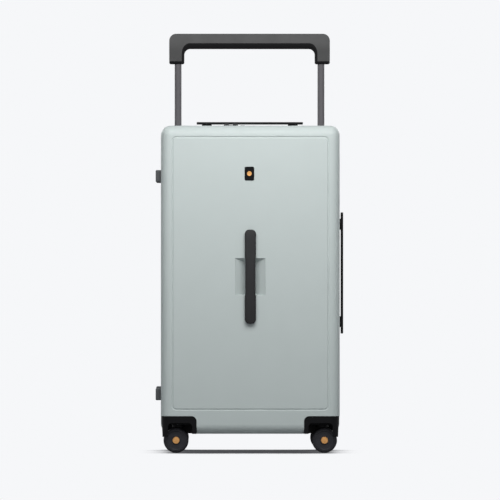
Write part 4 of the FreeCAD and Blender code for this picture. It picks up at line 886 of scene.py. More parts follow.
for node, body in (("lid_feet", "lid"), ("rear_feet", "rear_case")):
    low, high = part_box(node)
    middle_y = (low.y + high.y) / 2
    pair = []
    for name, middle_z in (("upper", high.z - FOOT_FROM_TOP), ("lower", low.z + FOOT_FROM_BOTTOM)):
        layers = []
        for x, inset in [(high.x, 0)] + [(low.x + deep * MM, inward * MM) for deep, inward in FOOT_PROFILE]:
            outline = rounded_outline(FOOT_LENGTH / 2 - inset, FOOT_WIDTH / 2 - inset,
                                      FOOT_RADIUS - inset * FOOT_RADIUS_DRAW)
            layers.append([(x, middle_y + y, middle_z + z) for y, z in outline])
        foot = stacked(f"{node}_{name}", layers)
        grooves = []
        for step in (-1, 0, 1):
            y = middle_y + step * GROOVE_PITCH
            grooves.append(block("groove", (low.x - GROOVE_PAST, y - GROOVE_HALF, middle_z - FOOT_WIDTH),
                                 (low.x + GROOVE_DEPTH, y + GROOVE_HALF, middle_z + FOOT_WIDTH)))
        carve(foot, grooves)
        soften(foot, FOOT_EDGE)
        pair.append(foot)
    fit(pair[0], body, "charcoal_plastic", foot_abs, node)
    fit(pair[1], body, "charcoal_plastic", foot_abs)
for node, body in (("lid_screws", "lid"), ("rear_screws", "rear_case")):
    carried_over(f"{node}_turned", node, body, "steel", zinc_steel, SCREW_EDGE)

# Trolley tubes
# Two sets of three drawn aluminium tubes that slide in one another, anodised grey. Shoes hold their
# feet in the case, and a well in the case's top takes in each leg of the grip.

TUBE_EDGE = 0.25 * MM
ROD_EDGE = 0.3 * MM
WELL_EDGE = 0.6 * MM
SHOE_EDGE = 0.8 * MM
DIE_LINE = 0.4 * MM
DIE_LINE_LENGTH = 60 * MM

# The dyed oxide on drawn aluminium: violet grey, half matt, with die lines along the tube 0.4 mm apart.
anodised_tube, tree = new_finish("anodised_drawn_aluminium")
place = add_node(tree, "ShaderNodeTexCoord").outputs["Object"]
along = add_node(tree, "ShaderNodeMapping",
                 {"Vector": place, "Scale": (1 / DIE_LINE, 1 / DIE_LINE, 1 / DIE_LINE_LENGTH)})
lines = add_node(tree, "ShaderNodeTexNoise", {"Vector": along.outputs[0], "Scale": 1.0, "Detail": 2.0})
rough = add_node(tree, "ShaderNodeMapRange", {0: lines.outputs["Fac"], 3: 0.5, 4: 0.65})
tint = add_node(tree, "ShaderNodeMix", {0: lines.outputs["Fac"], 6: linear("#5b595c"), 7: linear("#656366")},
                data_type="RGBA")
relief = add_node(tree, "ShaderNodeBump",
                  {"Height": lines.outputs["Fac"], "Strength": 0.12, "Distance": 0.1 * MM})
surface = add_node(tree, "ShaderNodeBsdfPrincipled",
                   {"Base Color": tint.outputs[2], "Roughness": rough.outputs[0], "IOR": 1.76,
                    "Specular IOR Level": 0.1, "Normal": relief.outputs[0]})
add_node(tree, "ShaderNodeOutputMaterial", {"Surface": surface.outputs[0]})

for node, body in (("trolley_outer_tubes", "rear_case"), ("trolley_middle_tubes", "trolley_middle"),
                   ("trolley_inner_tubes", "trolley_inner")):
    carried_over(f"{node}_drawn", node, body, "tube_metal", anodised_tube, TUBE_EDGE)
carried_over("release_rods_drawn", "release_rods", "trolley_release", "tube_metal", zinc_steel, ROD_EDGE)
for node, edge in (("trolley_wells", WELL_EDGE), ("trolley_tube_shoes", SHOE_EDGE)):
    carried_over(f"{node}_moulded", node, "rear_case", "black_plastic", black_nylon, edge)

# Trolley grip
# A wide charcoal handle, moulded in one with its two legs. Black rubber is moulded over the rounded
# side that the palm holds, and its near-black tone is painted shade under the bar. A black nylon collar
# closes each leg's end round its tube.

LEG_WIDTH = 35 * MM
BAR_HEIGHT = 35.3 * MM
BEND_OUTER = 16 * MM
BEND_INNER = 14 * MM
BAR_ROUND = 13.2 * MM
LEG_ROUND = 6 * MM
OUTER_ROUND = 2.4 * MM
SEAM_UP = 8.5 * MM
LEG_END_UP = 2.4 * MM
LEG_END_ROUND = 4.2 * MM
LEG_END_STEPS = 5
LEAST_ROUND = 0.3 * MM
SEAM_HALF = 0.5 * MM
SEAM_DEPTH = 0.4 * MM
PALM_PROUD = 0.25 * MM
PALM_DEEP = 1.5 * MM
BEND_STATIONS = 22
BAR_STATIONS = 10
SECTION_STEPS = 8
PIT_GAP = 0.5 * MM
PIT_DEPTH = 12.5 * MM
PIT_HALF = 7.5 * MM
PIT_PAST = 5 * MM
PIT_RADIUS = 4.4 * MM
HANDLE_EDGE = 0.4 * MM
BUTTON_EDGE = 0.8 * MM
SHARP_ONLY = 55
# Heights in metres between which the grip goes from painted shade on its legs to the paler, lit bar.
SHADED_LEGS_BELOW = 0.925
LIT_BAR_ABOVE = 0.955
TINY = 1e-12

low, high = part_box("trolley_grip")
middle_x, middle_y = (low.x + high.x) / 2, (low.y + high.y) / 2
thick = high.y - low.y
under = high.z - BAR_HEIGHT
inner_x = low.x + LEG_WIDTH


def along_path(points, count):
    """Points at even steps along a broken line."""
    lengths = [0]
    for one, two in zip(points, points[1:]):
        lengths.append(lengths[-1] + math.dist(one, two))
    found = []
    for step in range(count):
        goal = lengths[-1] * step / (count - 1)
        part = next(number for number in range(1, len(lengths)) if lengths[number] >= goal - TINY)
        share = (goal - lengths[part - 1]) / max(lengths[part] - lengths[part - 1], TINY)
        found.append(tuple(a + (b - a) * share for a, b in zip(points[part - 1], points[part])))
    return found


def arc(centre, radius, start, stop, steps=16):
    """Points on an arc, in degrees."""
    angles = [math.radians(start + (stop - start) * step / steps) for step in range(steps + 1)]
    return [(centre[0] + radius * math.cos(a), centre[1] + radius * math.sin(a)) for a in angles]


# Each station of the grip, from one leg's end over the bar to the other's: its inside and outside, how
# far its edges are drawn in, and the rounding towards the palm.
stations = []
leg_heights = []
for step in range(LEG_END_STEPS + 1):
    angle = math.pi / 2 * step / LEG_END_STEPS
    up = LEG_END_UP + LEG_END_ROUND * (1 - math.cos(angle))
    leg_heights.append((up, LEG_END_ROUND * (1 - math.sin(angle))))
leg_heights += [(SEAM_UP - 2 * SEAM_HALF, 0), (SEAM_UP - SEAM_HALF, SEAM_DEPTH),
                (SEAM_UP + SEAM_HALF, SEAM_DEPTH), (SEAM_UP + 2 * SEAM_HALF, 0),
                (SEAM_UP + 4 * SEAM_HALF, 0)]
for up, draw in leg_heights:
    stations.append(((inner_x, low.z + up), (low.x, low.z + up), draw, LEG_ROUND))
inner_bend = arc((inner_x + BEND_INNER, under - BEND_INNER), BEND_INNER, 180, 90)
outer_corner = arc((low.x + BEND_OUTER, high.z - BEND_OUTER), BEND_OUTER, 180, 90)
outer_bend = [(low.x, under - BEND_INNER), *outer_corner, (inner_x + BEND_INNER, high.z)]
bend = zip(along_path(inner_bend, BEND_STATIONS), along_path(outer_bend, BEND_STATIONS))
for number, (inside, outside) in enumerate(bend):
    share = number / (BEND_STATIONS - 1)
    smooth = share * share * (3 - 2 * share)
    stations.append((inside, outside, 0, LEG_ROUND + (BAR_ROUND - LEG_ROUND) * smooth))
bar_from = stations[-1][0][0]
for step in range(1, BAR_STATIONS):
    x = bar_from + (middle_x - bar_from) * step / BAR_STATIONS
    stations.append(((x, under), (x, high.z), 0, BAR_ROUND))
mirror = [((2 * middle_x - a[0], a[1]), (2 * middle_x - b[0], b[1]), draw, rounding)
          for a, b, draw, rounding in reversed(stations)]
stations += [((middle_x, under), (middle_x, high.z), 0, BAR_ROUND)] + mirror


def set_across(inside, outside, ring):
    """Points of a section, given as across and back, set between the grip's inside and outside."""
    width = math.dist(inside, outside)
    across = [(b - a) / width for a, b in zip(inside, outside)]
    return [(inside[0] + across[0] * u, low.y + v, inside[1] + across[1] * u) for u, v in ring]


def grip_ring(inside, outside, draw, rounding):
    """One cross-section of the grip: round towards the palm, nearly square outwards."""
    outer = max(OUTER_ROUND, draw + LEAST_ROUND)
    width = math.dist(inside, outside)
    corners = [(0, 0, rounding, 180, 270), (width, 0, outer, 270, 360), (width, thick, outer, 0, 90),
               (0, thick, rounding, 90, 180)]
    ring = []
    for u, v, radius, start, stop in corners:
        centre = (u + (radius if u == 0 else -radius), v + (radius if v == 0 else -radius))
        ring += arc(centre, radius - draw, start, stop, SECTION_STEPS)
    return set_across(inside, outside, ring)


def palm_ring(inside, outside, draw, rounding):
    """The strip of rubber over the palm's side of one cross-section, a little proud of it."""
    ring = []
    for v, start, stop in ((rounding, 270, 180), (thick - rounding, 180, 90)):
        ring += arc((rounding, v), rounding + PALM_PROUD - draw, start, stop, SECTION_STEPS)
    for v, start, stop in ((thick - rounding, 90, 180), (rounding, 180, 270)):
        ring += arc((rounding, v), rounding - PALM_DEEP - draw, start, stop, SECTION_STEPS)
    return set_across(inside, outside, ring)


grip_rings = [grip_ring(*station) for station in stations]
seam = LEG_END_STEPS + 3
trolley_handle = stacked("trolley_handle", grip_rings[seam:-seam])
for side, rings in (("left", grip_rings[:seam + 1]), ("right", grip_rings[-seam - 1:])):
    collar = stacked(f"trolley_collar_{side}", rings)
    soften(collar, 0)
    fit(collar, "trolley_inner", "black_plastic", black_nylon)
button_low, button_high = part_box("release_button")
pit_low = (button_low.x - PIT_GAP, middle_y - PIT_HALF, high.z - PIT_DEPTH)
pit_high = (button_high.x + PIT_GAP, middle_y + PIT_HALF, high.z + PIT_PAST)
pit_edges = [(x, y) for x in ("x0", "x1") for y in ("y0", "y1")]
carve(trolley_handle, [block("button_pit", pit_low, pit_high, pit_edges, PIT_RADIUS)])
soften(trolley_handle, HANDLE_EDGE, angle=SHARP_ONLY)

# Soft rubber of the palm strip, nearly black, with a dry fine grain of 0.8 mm. Its near-black tone is
# also painted shade for the underside of the bar.
palm_rubber_painted_shade = moulded("palm_rubber_painted_shade", "#1b1b1c", grain=0.8 * MM, detail=2.0, smooth=0.66, dull=0.78, ior=1.5,
                      specular=0.08, relief=0.3)

# Charcoal ABS in a paler batch than the front grip, satin, its grain drawn at 0.7 mm. Painted shade:
# the bar is paler than the legs, as light falls on it from above.
grip_abs = rubbed_abs("satin_grip_abs", (SHADED_LEGS_BELOW, LIT_BAR_ABOVE), "SMOOTHSTEP",
                      ("#424242", "#5b5b5b", "#4b4b4b"), haze_size=30 * MM, relief=0.2, roughness=0.55,
                      specular=0.15)
fit(trolley_handle, "trolley_inner", "charcoal_plastic", grip_abs, "trolley_grip")
palm = stacked("trolley_palm_shade_strip", [palm_ring(*station) for station in stations])
soften(palm, 0)
fit(palm, "trolley_inner", "charcoal_plastic", palm_rubber_painted_shade)
carried_over("trolley_release_button", "release_button", "trolley_release", "charcoal_plastic", charcoal_abs,
             BUTTON_EDGE, segments=3)

# Carry handles
# Low bars moulded over in black rubber, one on the top and one on the right flank. A groove in each
# bar's face outlines a pad, and its two sprung posts slide in moulded mounts.

BAR_END_RADIUS = 6 * MM
BAR_SOFT_EDGE = 0.3 * MM
POST_HALF = (6 * MM, 5 * MM)
POST_REACH = 36 * MM
POST_INTO_BAR = 2 * MM
MOUNT_TAPER = 0.6 * MM
MOUNT_GAP = 0.3 * MM
MOUNT_FOOT = 1 * MM
MOUNT_CORE = 8 * MM
MOUNT_SOFT_EDGE = 0.6 * MM
SPRING_EDGE = 0.2 * MM
# The bar's profiles in mm. At its foot: up from the underside, and how far it is drawn in. At its
# face, with the pad's groove: down from the face, and how far in.
BAR_FOOT = ((0, 0.8), (0.3, 0.2), (0.8, 0))
BAR_FACE = ((1, 0), (0.5, 0.14), (0.13, 0.5), (0, 1), (0, 3.2), (0.5, 3.4), (0.5, 3.9), (0.1, 4.2), (0, 5.2))

# Soft thermoplastic rubber, deep black and dry, with a fine grain of 0.8 mm.
soft_rubber = moulded("overmoulded_rubber", "#0b0c0d", grain=0.8 * MM, detail=2.0, smooth=0.7, dull=0.8,
                      ior=1.5, specular=0.2, relief=0.3)


def carry_bar(name, length, width, rise, thickness, post_places):
    """A bar along X with its face at Z = rise, on posts that reach down into the case."""
    profile = [(rise - thickness + up * MM, inward * MM) for up, inward in BAR_FOOT]
    profile += [(rise - down * MM, inward * MM) for down, inward in BAR_FACE]
    layers = []
    for z, inset in profile:
        outline = rounded_outline(length / 2 - inset, width / 2 - inset, BAR_END_RADIUS - inset)
        layers.append([(x, y, z) for x, y in outline])
    piece = stacked(name, layers)
    posts = []
    for x in post_places:
        posts.append(block("post", (x - POST_HALF[0], -POST_HALF[1], -POST_REACH),
                           (x + POST_HALF[0], POST_HALF[1], rise - POST_INTO_BAR)))
    carve(piece, posts, "UNION")
    return piece


# Turns what lies along X on the top to lie along Z on the right flank.
ON_FLANK = Matrix(((0, 0, 1, 0), (0, 1, 0, 0), (-1, 0, 0, 0), (0, 0, 0, 1)))
for handle, axis, out_axis, post_spacing, thickness in (("top", 0, 2, 199 * MM, 5.4 * MM),
                                                        ("side", 2, 0, 225.6 * MM, 5.6 * MM)):
    node, guides_node = f"{handle}_handle_bar", f"{handle}_handle_guides"
    low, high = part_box(node)
    level = case_high[out_axis]
    length, width, rise = high[axis] - low[axis], high.y - low.y, high[out_axis] - level
    shift = (low + high) / 2
    shift[out_axis] = level
    places = (-post_spacing / 2, post_spacing / 2)
    bar = carry_bar(f"{handle}_carry_bar", length, width, rise, thickness, places)
    if handle == "side":
        bar.data.transform(ON_FLANK)
    bar.data.transform(Matrix.Translation(shift))
    soften(bar, BAR_SOFT_EDGE, angle=SHARP_ONLY)
    fit(bar, f"{handle}_handle", "black_plastic", soft_rubber, node)
    guides = copied(f"{handle}_carry_mounts", guides_node)
    lift = rise - thickness - MOUNT_GAP - (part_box(guides_node)[1][out_axis] - level)
    for vert in guides.data.vertices:
        if vert.co[out_axis] > level + MOUNT_FOOT:
            vert.co[out_axis] += lift
            reach = min((vert.co[axis] - shift[axis] - post for post in places), key=abs)
            if abs(reach) > MOUNT_CORE:
                vert.co[axis] -= MOUNT_TAPER * (1 if reach > 0 else -1)
    soften(guides, MOUNT_SOFT_EDGE)
    fit(guides, "rear_case", "black_plastic", black_nylon, guides_node)
    carried_over(f"{handle}_carry_springs", f"{handle}_handle_springs", "rear_case", "steel", zinc_steel,
                 SPRING_EDGE)

# Combination lock
# A moulded black lock let into the top of the rear half: three numbered dials on a steel axle, a sliding
# button and a key cylinder.

LOCK_EDGE = 0.4 * MM
AXLE_EDGE = 0.2 * MM
DIAL_SIDES = 10
DIAL_BEVEL = 0.5 * MM
DIAL_EDGE = 0.25 * MM
DIGIT_HEIGHT = 4.4 * MM
DIGIT_RISE = 0.04 * MM

# Black acetal of the dials and the button, smooth and slightly glossy.
black_acetal = moulded("black_acetal", "#161618", grain=2 * MM, detail=3.0, smooth=0.3, dull=0.42, ior=1.48,
                       specular=0.3)

# White paint wiped into the figures, slightly uneven.
figure_paint, tree = new_finish("white_figure_paint")
place = add_node(tree, "ShaderNodeTexCoord").outputs["Object"]
wear = add_node(tree, "ShaderNodeTexNoise", {"Vector": place, "Scale": 1 / (0.7 * MM), "Detail": 2.0})
tint = add_node(tree, "ShaderNodeMix", {0: wear.outputs["Fac"], 6: linear("#cfd0cd"), 7: linear("#f0f0ec")},
                data_type="RGBA")
surface = add_node(tree, "ShaderNodeBsdfPrincipled",
                   {"Base Color": tint.outputs[2], "Roughness": 0.6, "IOR": 1.5})
add_node(tree, "ShaderNodeOutputMaterial", {"Surface": surface.outputs[0]})

carried_over("lock_case", "lock_body", "rear_case", "black_plastic", black_nylon, LOCK_EDGE)
carried_over("dial_axle", "lock_dial_axle", "rear_case", "steel", zinc_steel, AXLE_EDGE)
for number in (1, 2, 3):
    node = f"lock_dial_{number}"
    low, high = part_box(node)
    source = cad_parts[node]
    corners = [source.matrix_world @ vert.co for vert in source.data.vertices]
    axis_y, axis_z = (low.y + high.y) / 2, (low.z + high.z) / 2
    outermost = max(corners, key=lambda c: math.hypot(c.y - axis_y, c.z - axis_z))
    radius = math.hypot(outermost.y - axis_y, outermost.z - axis_z)
    first = math.atan2(outermost.z - axis_z, outermost.y - axis_y)
    angles = [first + 2 * math.pi * side / DIAL_SIDES for side in range(DIAL_SIDES)]
    layers = []
    for x, reach in ((low.x, radius - DIAL_BEVEL), (low.x + DIAL_BEVEL, radius),
                     (high.x - DIAL_BEVEL, radius), (high.x, radius - DIAL_BEVEL)):
        layers.append([(x, axis_y + reach * math.cos(a), axis_z + reach * math.sin(a)) for a in angles])
    dial = stacked(f"numbered_dial_{number}", layers)
    soften(dial, DIAL_EDGE)
    settle(dial)
    build = bmesh.new()
    build.from_mesh(dial.data)
    for figure in range(DIAL_SIDES):
        words = bpy.data.curves.new("figure", "FONT")
        words.body = str(figure)
        words.size = DIGIT_HEIGHT
        words.align_x, words.align_y = "CENTER", "CENTER"
        words.extrude = DIGIT_RISE
        writing = bpy.data.objects.new("figure", words)
        bpy.context.scene.collection.objects.link(writing)
        shape = bpy.data.meshes.new_from_object(writing.evaluated_get(bpy.context.evaluated_depsgraph_get()))
        turn = first + 2 * math.pi * (figure + 0.5) / DIAL_SIDES
        out = Vector((0, math.cos(turn), math.sin(turn)))
        right = Vector((1, 0, 0))
        facet = Vector(((low.x + high.x) / 2, axis_y, axis_z))
        facet += out * radius * math.cos(math.pi / DIAL_SIDES)
        stand = Matrix((right, out.cross(right), out)).transposed().to_4x4()
        shape.transform(Matrix.Translation(facet) @ stand)
        before = len(build.faces)
        build.from_mesh(shape)
        build.faces.ensure_lookup_table()
        for face in build.faces[before:]:
            face.material_index = 1
            face.smooth = False
        bpy.data.objects.remove(writing, do_unlink=True)
    build.to_mesh(dial.data)
    build.free()
    fit(dial, node, "dial_plastic", black_acetal, node)
    dial.data.materials.append(figure_paint)
carried_over("lock_button_piece", "lock_button", "lock_button", "dial_plastic", black_acetal, LOCK_EDGE)
carried_over("key_cylinder_piece", "key_cylinder", "key_cylinder", "steel", zinc_steel, LOCK_EDGE)

# Zip
# Two woven tapes sewn behind the rims of the shells, each with a row of moulded teeth along its edge.
# Two painted zinc sliders run on them along the top, each with a flat pull.

TAPE_INSET = 2.1 * MM
TAPE_THICKNESS = 1.0 * MM
TAPE_STEP = 4 * MM
TAPE_GAP_HALF = 1.3 * MM
TAPE_FOLD = 3.2 * MM
TAPE_LIP = 0.2 * MM
TAPE_SWELL = 1.3
OUTLINE_STEPS = 24
TOOTH_PITCH = 2.6 * MM
TOOTH_SHIFT = 0.25
TOOTH_FROM_SPLIT = 2.2 * MM
TOOTH_TO_HINGE = 4 * MM
TOOTH_TO_FLANK = 1 * MM
# A tooth seen from outside, in mm: along the tape, and over the split. Its layers: how deep in mm below
# the case's outline, and how wide.
TOOTH_OUTLINE = ((-0.65, 0), (0.65, 0), (0.65, 1.7), (0.95, 2.2), (0.5, 3.1), (-0.5, 3.1), (-0.95, 2.2),
                 (-0.65, 1.7))
TOOTH_LAYERS = ((2.4, 1.0), (1.0, 1.0), (0.6, 0.7))
SLIDER_EDGE = 0.45 * MM
PULL_EDGE = 0.4 * MM


def woven(name, dark, light, pitch, roughness):
    """A cloth material: threads crossing at a pitch, in two tones."""
    finish, tree = new_finish(name)
    place = add_node(tree, "ShaderNodeTexCoord").outputs["Object"]
    normal = add_node(tree, "ShaderNodeNewGeometry").outputs["Normal"]
    facing = add_node(tree, "ShaderNodeSeparateXYZ", {0: normal})
    threads = None
    for axis in "XYZ":
        wave = add_node(tree, "ShaderNodeTexWave",
                        {"Vector": place, "Scale": math.pi / (10 * pitch), "Distortion": 0.3},
                        bands_direction=axis)
        square = add_node(tree, "ShaderNodeMath", {0: facing.outputs[axis], 1: facing.outputs[axis]},
                          operation="MULTIPLY")
        thread = add_node(tree, "ShaderNodeMix",
                          {0: square.outputs[0], 2: wave.outputs["Fac"], 3: 1.0}).outputs[0]
        threads = thread if threads is None else add_node(
            tree, "ShaderNodeMath", {0: threads, 1: thread}, operation="MULTIPLY").outputs[0]
    cloud = add_node(tree, "ShaderNodeTexNoise", {"Vector": place, "Scale": 1 / (40 * MM), "Detail": 4.0})
    mixed = add_node(tree, "ShaderNodeMath", {0: cloud.outputs["Fac"], 1: 0.5, 2: threads},
                     operation="MULTIPLY_ADD")
    tint = add_node(tree, "ShaderNodeMix", {0: mixed.outputs[0], 6: linear(dark), 7: linear(light)},
                    data_type="RGBA")
    relief = add_node(tree, "ShaderNodeBump", {"Height": threads, "Strength": 0.6, "Distance": 0.25 * MM})
    surface = add_node(tree, "ShaderNodeBsdfPrincipled",
                       {"Base Color": tint.outputs[2], "Roughness": roughness, "IOR": 1.5,
                        "Specular IOR Level": 0.2, "Sheen Weight": 0.15, "Normal": relief.outputs[0]})
    add_node(tree, "ShaderNodeOutputMaterial", {"Surface": surface.outputs[0]})
    return finish


# Woven polyester tape, nearly black, with a rib of 0.8 mm.
zip_cloth = woven("woven_zip_tape", "#121315", "#222326", pitch=0.8 * MM, roughness=0.85)


def round_case(step):
    """Places, outward directions and runs at even steps round the case's outline, from its lower right."""
    x0, x1 = case_low.x + SHELL_RADIUS, case_high.x - SHELL_RADIUS
    z0, z1 = case_low.z + SHELL_RADIUS, case_high.z - SHELL_RADIUS
    outline = []
    for centre, start in (((x1, z0), 270), ((x1, z1), 0), ((x0, z1), 90), ((x0, z0), 180)):
        outline += arc(centre, SHELL_RADIUS, start, start + 90, OUTLINE_STEPS)
    outline.append(outline[0])
    count = round(sum(math.dist(a, b) for a, b in zip(outline, outline[1:])) / step)
    places = along_path(outline, count + 1)[:-1]
    found = []
    for number, here in enumerate(places):
        before, after = places[number - 1], places[(number + 1) % count]
        run = Vector((after[0] - before[0], 0, after[1] - before[1])).normalized()
        found.append((Vector((here[0], 0, here[1])), Vector((run.z, 0, -run.x)), run))
    return found


def looped(name, section):
    """A closed band round the case: section gives (y, depth in from the outline) of its cross-section."""
    build = bmesh.new()
    rings = []
    for here, out, _ in round_case(TAPE_STEP):
        ring = [(here.x - out.x * depth, y, here.z - out.z * depth) for y, depth in section]
        rings.append([build.verts.new(point) for point in ring])
    skin(build, rings + rings[:1])
    bmesh.ops.recalc_face_normals(build, faces=build.faces)
    return as_piece(name, build)


split = (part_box("lid_zipper_tape")[1].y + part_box("rear_zipper_tape")[0].y) / 2
stations = round_case(TAPE_STEP)
length = sum((a[0] - b[0]).length for a, b in zip(stations, stations[1:] + stations[:1]))
hinge_low, hinge_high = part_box("hinge_tape")
for node, body, shell, way in (("lid_zipper_tape", "lid", "lid_shell", -1),
                               ("rear_zipper_tape", "rear_case", "rear_half_shell", 1)):
    low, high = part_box(node)
    outer_y = low.y if way < 0 else high.y
    edge_y = split + way * TAPE_GAP_HALF
    fold_y = split + way * TAPE_FOLD
    section = [(outer_y, TAPE_INSET), (fold_y, TAPE_INSET), (edge_y, TAPE_INSET - TAPE_LIP),
               (edge_y, TAPE_INSET + TAPE_THICKNESS), (fold_y, TAPE_INSET + TAPE_SWELL * TAPE_THICKNESS),
               (outer_y, TAPE_INSET + TAPE_THICKNESS)]
    tape = looped(f"{body}_tape", section)
    soften(tape, 0)
    fit(tape, body, "zip_tape", zip_cloth, node)
    build = bmesh.new()
    for here, out, run in round_case(TOOTH_PITCH):
        by_hinge = hinge_low.z - TOOTH_TO_HINGE < here.z < hinge_high.z + TOOTH_TO_HINGE
        if by_hinge and here.x < case_low.x + TOOTH_TO_FLANK:
            continue
        rings = []
        for depth, scale in TOOTH_LAYERS:
            ring = []
            for side, reach in TOOTH_OUTLINE:
                spot = here + run * (way * TOOTH_SHIFT * TOOTH_PITCH + side * scale * MM) - out * depth * MM
                ring.append(build.verts.new((spot.x, split + way * (TOOTH_FROM_SPLIT - reach * MM), spot.z)))
            rings.append(ring)
        skin(build, rings)
        build.faces.new(rings[0])
        build.faces.new(rings[-1])
    bmesh.ops.recalc_face_normals(build, faces=build.faces)
    teeth = as_piece(f"{body}_teeth", build)
    soften(teeth, 0)
    fit(teeth, body, "zip_tape", black_acetal)

# Painted zinc of the sliders: black and slightly glossy, with a faint orange peel of 1.2 mm.
painted_zinc = moulded("painted_zinc", "#19191b", grain=1.2 * MM, detail=3.0, smooth=0.3, dull=0.5, ior=1.5,
                       specular=0.35, relief=0.1)
for side in ("left", "right"):
    for node, edge in ((f"zipper_slider_{side}", SLIDER_EDGE), (f"zipper_pull_{side}", PULL_EDGE)):
        carried_over(f"{node}_cast", node, node, "zip_metal", painted_zinc, edge)

# Fabric hinge
# A band of the zip's woven tape, sewn behind the left edges of both halves. It holds the lid.

HINGE_ROWS = 30
HINGE_COLUMNS = 24
HINGE_SINK = 0.3 * MM
HINGE_THICKNESS = 0.8 * MM


def cloth_sheet(name, columns, rows, thickness, place_at):
    """A thick sheet of cloth on a grid; place_at gives the point at a share across and a share up."""
    points = [place_at(column / columns, row / rows)
              for row in range(rows + 1) for column in range(columns + 1)]
    faces = []
    for row in range(rows):
        for column in range(columns):
            here = row * (columns + 1) + column
            faces.append((here, here + 1, here + columns + 2, here + columns + 1))
    piece = new_piece(name, points, faces)
    add_modifier(piece, "SOLIDIFY", thickness=thickness, offset=0)
    settle(piece)
    piece.data.shade_smooth()
    return piece


def hinge_point(u, v):
    """A point of the hinge: u back from the lid, v up."""
    y = hinge_low.y + (hinge_high.y - hinge_low.y) * u
    return hinge_low.x + HINGE_SINK, y, hinge_low.z + (hinge_high.z - hinge_low.z) * v


hinge = cloth_sheet("hinge_band", HINGE_COLUMNS, HINGE_ROWS, HINGE_THICKNESS, hinge_point)
hinge.data.materials.append(zip_cloth)
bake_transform(hinge)
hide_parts("hinge_tape")

# Linings
# Grey woven polyester glued and sewn into both halves. It is stretched over the wheel housings, the
# trolley's tubes and the scoop, with soft wrinkles, and a bound edge runs along the zip.

CLOTH_STEP = 5 * MM
CLOTH_OVER = 5 * MM
CLOTH_IN = 1 * MM
CLOTH_RADIUS = 17 * MM
CLOTH_PAST = 20 * MM
SHOE_LENGTH = 36 * MM
WRINKLE = 1.8 * MM
WRINKLE_ACROSS = 26 * MM
WRINKLE_ALONG = 110 * MM
WRINKLE_FROM_EDGE = 25 * MM
FINE_WRINKLE = 2.3
FINE_WRINKLE_SHARE = 0.5
BINDING_RADIUS = 2.2 * MM
BINDING_STEPS = 10
BINDING_INSET = 6 * MM
SIDE_EDGES = [(x, z) for x in ("x0", "x1") for z in ("z0", "z1")]

# Plain-woven polyester lining, mid grey with a little sheen; its threads are drawn 1.2 mm apart so that
# they show.
lining_cloth = woven("polyester_lining", "#53575b", "#6d7175", pitch=1.2 * MM, roughness=0.8)

# Woven binding of the same kind as the zip's tape, a little paler.
binding_cloth = woven("binding_tape", "#1b1c1f", "#2b2c30", pitch=0.8 * MM, roughness=0.85)


def grown(low, high, by):
    """A box that is larger by a distance on all sides."""
    return tuple(value - by for value in low), tuple(value + by for value in high)


def lining(name, node, mouth, way, obstacles):
    """Cloth stretched in one half: a soft cavity, open at its mouth, drawn in round what is behind it."""
    low, high = [list(corner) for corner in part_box(node)]
    low[1], high[1] = sorted((mouth - way * CLOTH_PAST, high[1] if way > 0 else low[1]))
    closed = "y1" if way > 0 else "y0"
    edges = SIDE_EDGES + [(closed, side) for side in ("x0", "x1", "z0", "z1")]
    cloth = block(name, *grown(low, high, -CLOTH_IN), edges, CLOTH_RADIUS)
    carve(cloth, [block("bulk", *grown(*box, CLOTH_OVER)) for box in obstacles])
    add_modifier(cloth, "REMESH", mode="VOXEL", voxel_size=CLOTH_STEP)
    add_modifier(cloth, "SMOOTH", factor=0.5, iterations=5)
    settle(cloth)
    build = bmesh.new()
    build.from_mesh(cloth.data)
    everything = build.verts[:] + build.edges[:] + build.faces[:]
    bmesh.ops.bisect_plane(build, geom=everything, plane_co=(0, mouth, 0), plane_no=(0, -way, 0),
                           clear_outer=True)
    build.normal_update()
    for vert in build.verts:
        x, y, z = vert.co
        spot = Vector((x / WRINKLE_ACROSS, y / WRINKLE_ACROSS, z / WRINKLE_ALONG))
        slack = min(abs(y - mouth) / WRINKLE_FROM_EDGE, 1)
        ripple = noise.noise(spot) + FINE_WRINKLE_SHARE * noise.noise(spot * FINE_WRINKLE)
        vert.co -= vert.normal * WRINKLE * max(ripple, 0) * slack
    bmesh.ops.reverse_faces(build, faces=build.faces)
    build.to_mesh(cloth.data)
    build.free()
    cloth.data.shade_smooth()
    return cloth


scoop_bulk = ((scoop_x[0], case_low.y, scoop_z[0]), (scoop_x[1], case_low.y + SCOOP_DEPTH, scoop_z[1]))
lid_bulk = [corner_box("left", "front"), corner_box("right", "front"), scoop_bulk]
rear_bulk = [corner_box("left", "rear"), corner_box("right", "rear")]
shoe_low, shoe_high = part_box("trolley_tube_shoes")
rear_bulk += end_boxes((shoe_low.x, shoe_low.y, case_low.z), (shoe_high.x, case_high.y, case_high.z), 0,
                       SHOE_LENGTH)
well_low, well_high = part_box("trolley_wells")
rear_bulk += end_boxes(well_low, (well_high.x, well_high.y, case_high.z), 0, WELL_LENGTH)
rear_bulk += end_boxes(*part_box("top_handle_guides"), 0, SIDE_MOUNT)
rear_bulk += end_boxes(*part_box("side_handle_guides"), 2, SIDE_MOUNT)
rear_bulk.append(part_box("lock_body"))

turns = [2 * math.pi * step / BINDING_STEPS for step in range(BINDING_STEPS)]
for node, body, shell, way, bulk, flat, cut_area in (
        ("lid_lining", "lid", "lid_shell", -1, lid_bulk, (0.60, 0.90), 0.445),
        ("rear_lining", "rear_case", "rear_half_shell", 1, rear_bulk, (0.90, 1.20), 0.89)):
    low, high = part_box(node)
    mouth = high.y if way < 0 else low.y
    cloth = lining(f"{node}_cloth", node, mouth, way, bulk)
    fit(cloth, body, "lining", lining_cloth, node)
    section = [(mouth + math.cos(turn) * BINDING_RADIUS, BINDING_INSET + math.sin(turn) * BINDING_RADIUS)
               for turn in turns]
    binding = looped(f"{body}_binding", section)
    soften(binding, 0)
    fit(binding, body, "lining", binding_cloth)

# Lid pocket
# A flat pocket of the same cloth on the lower half of the lid, sewn down on three sides. Its mouth is
# gathered by an elastic band.

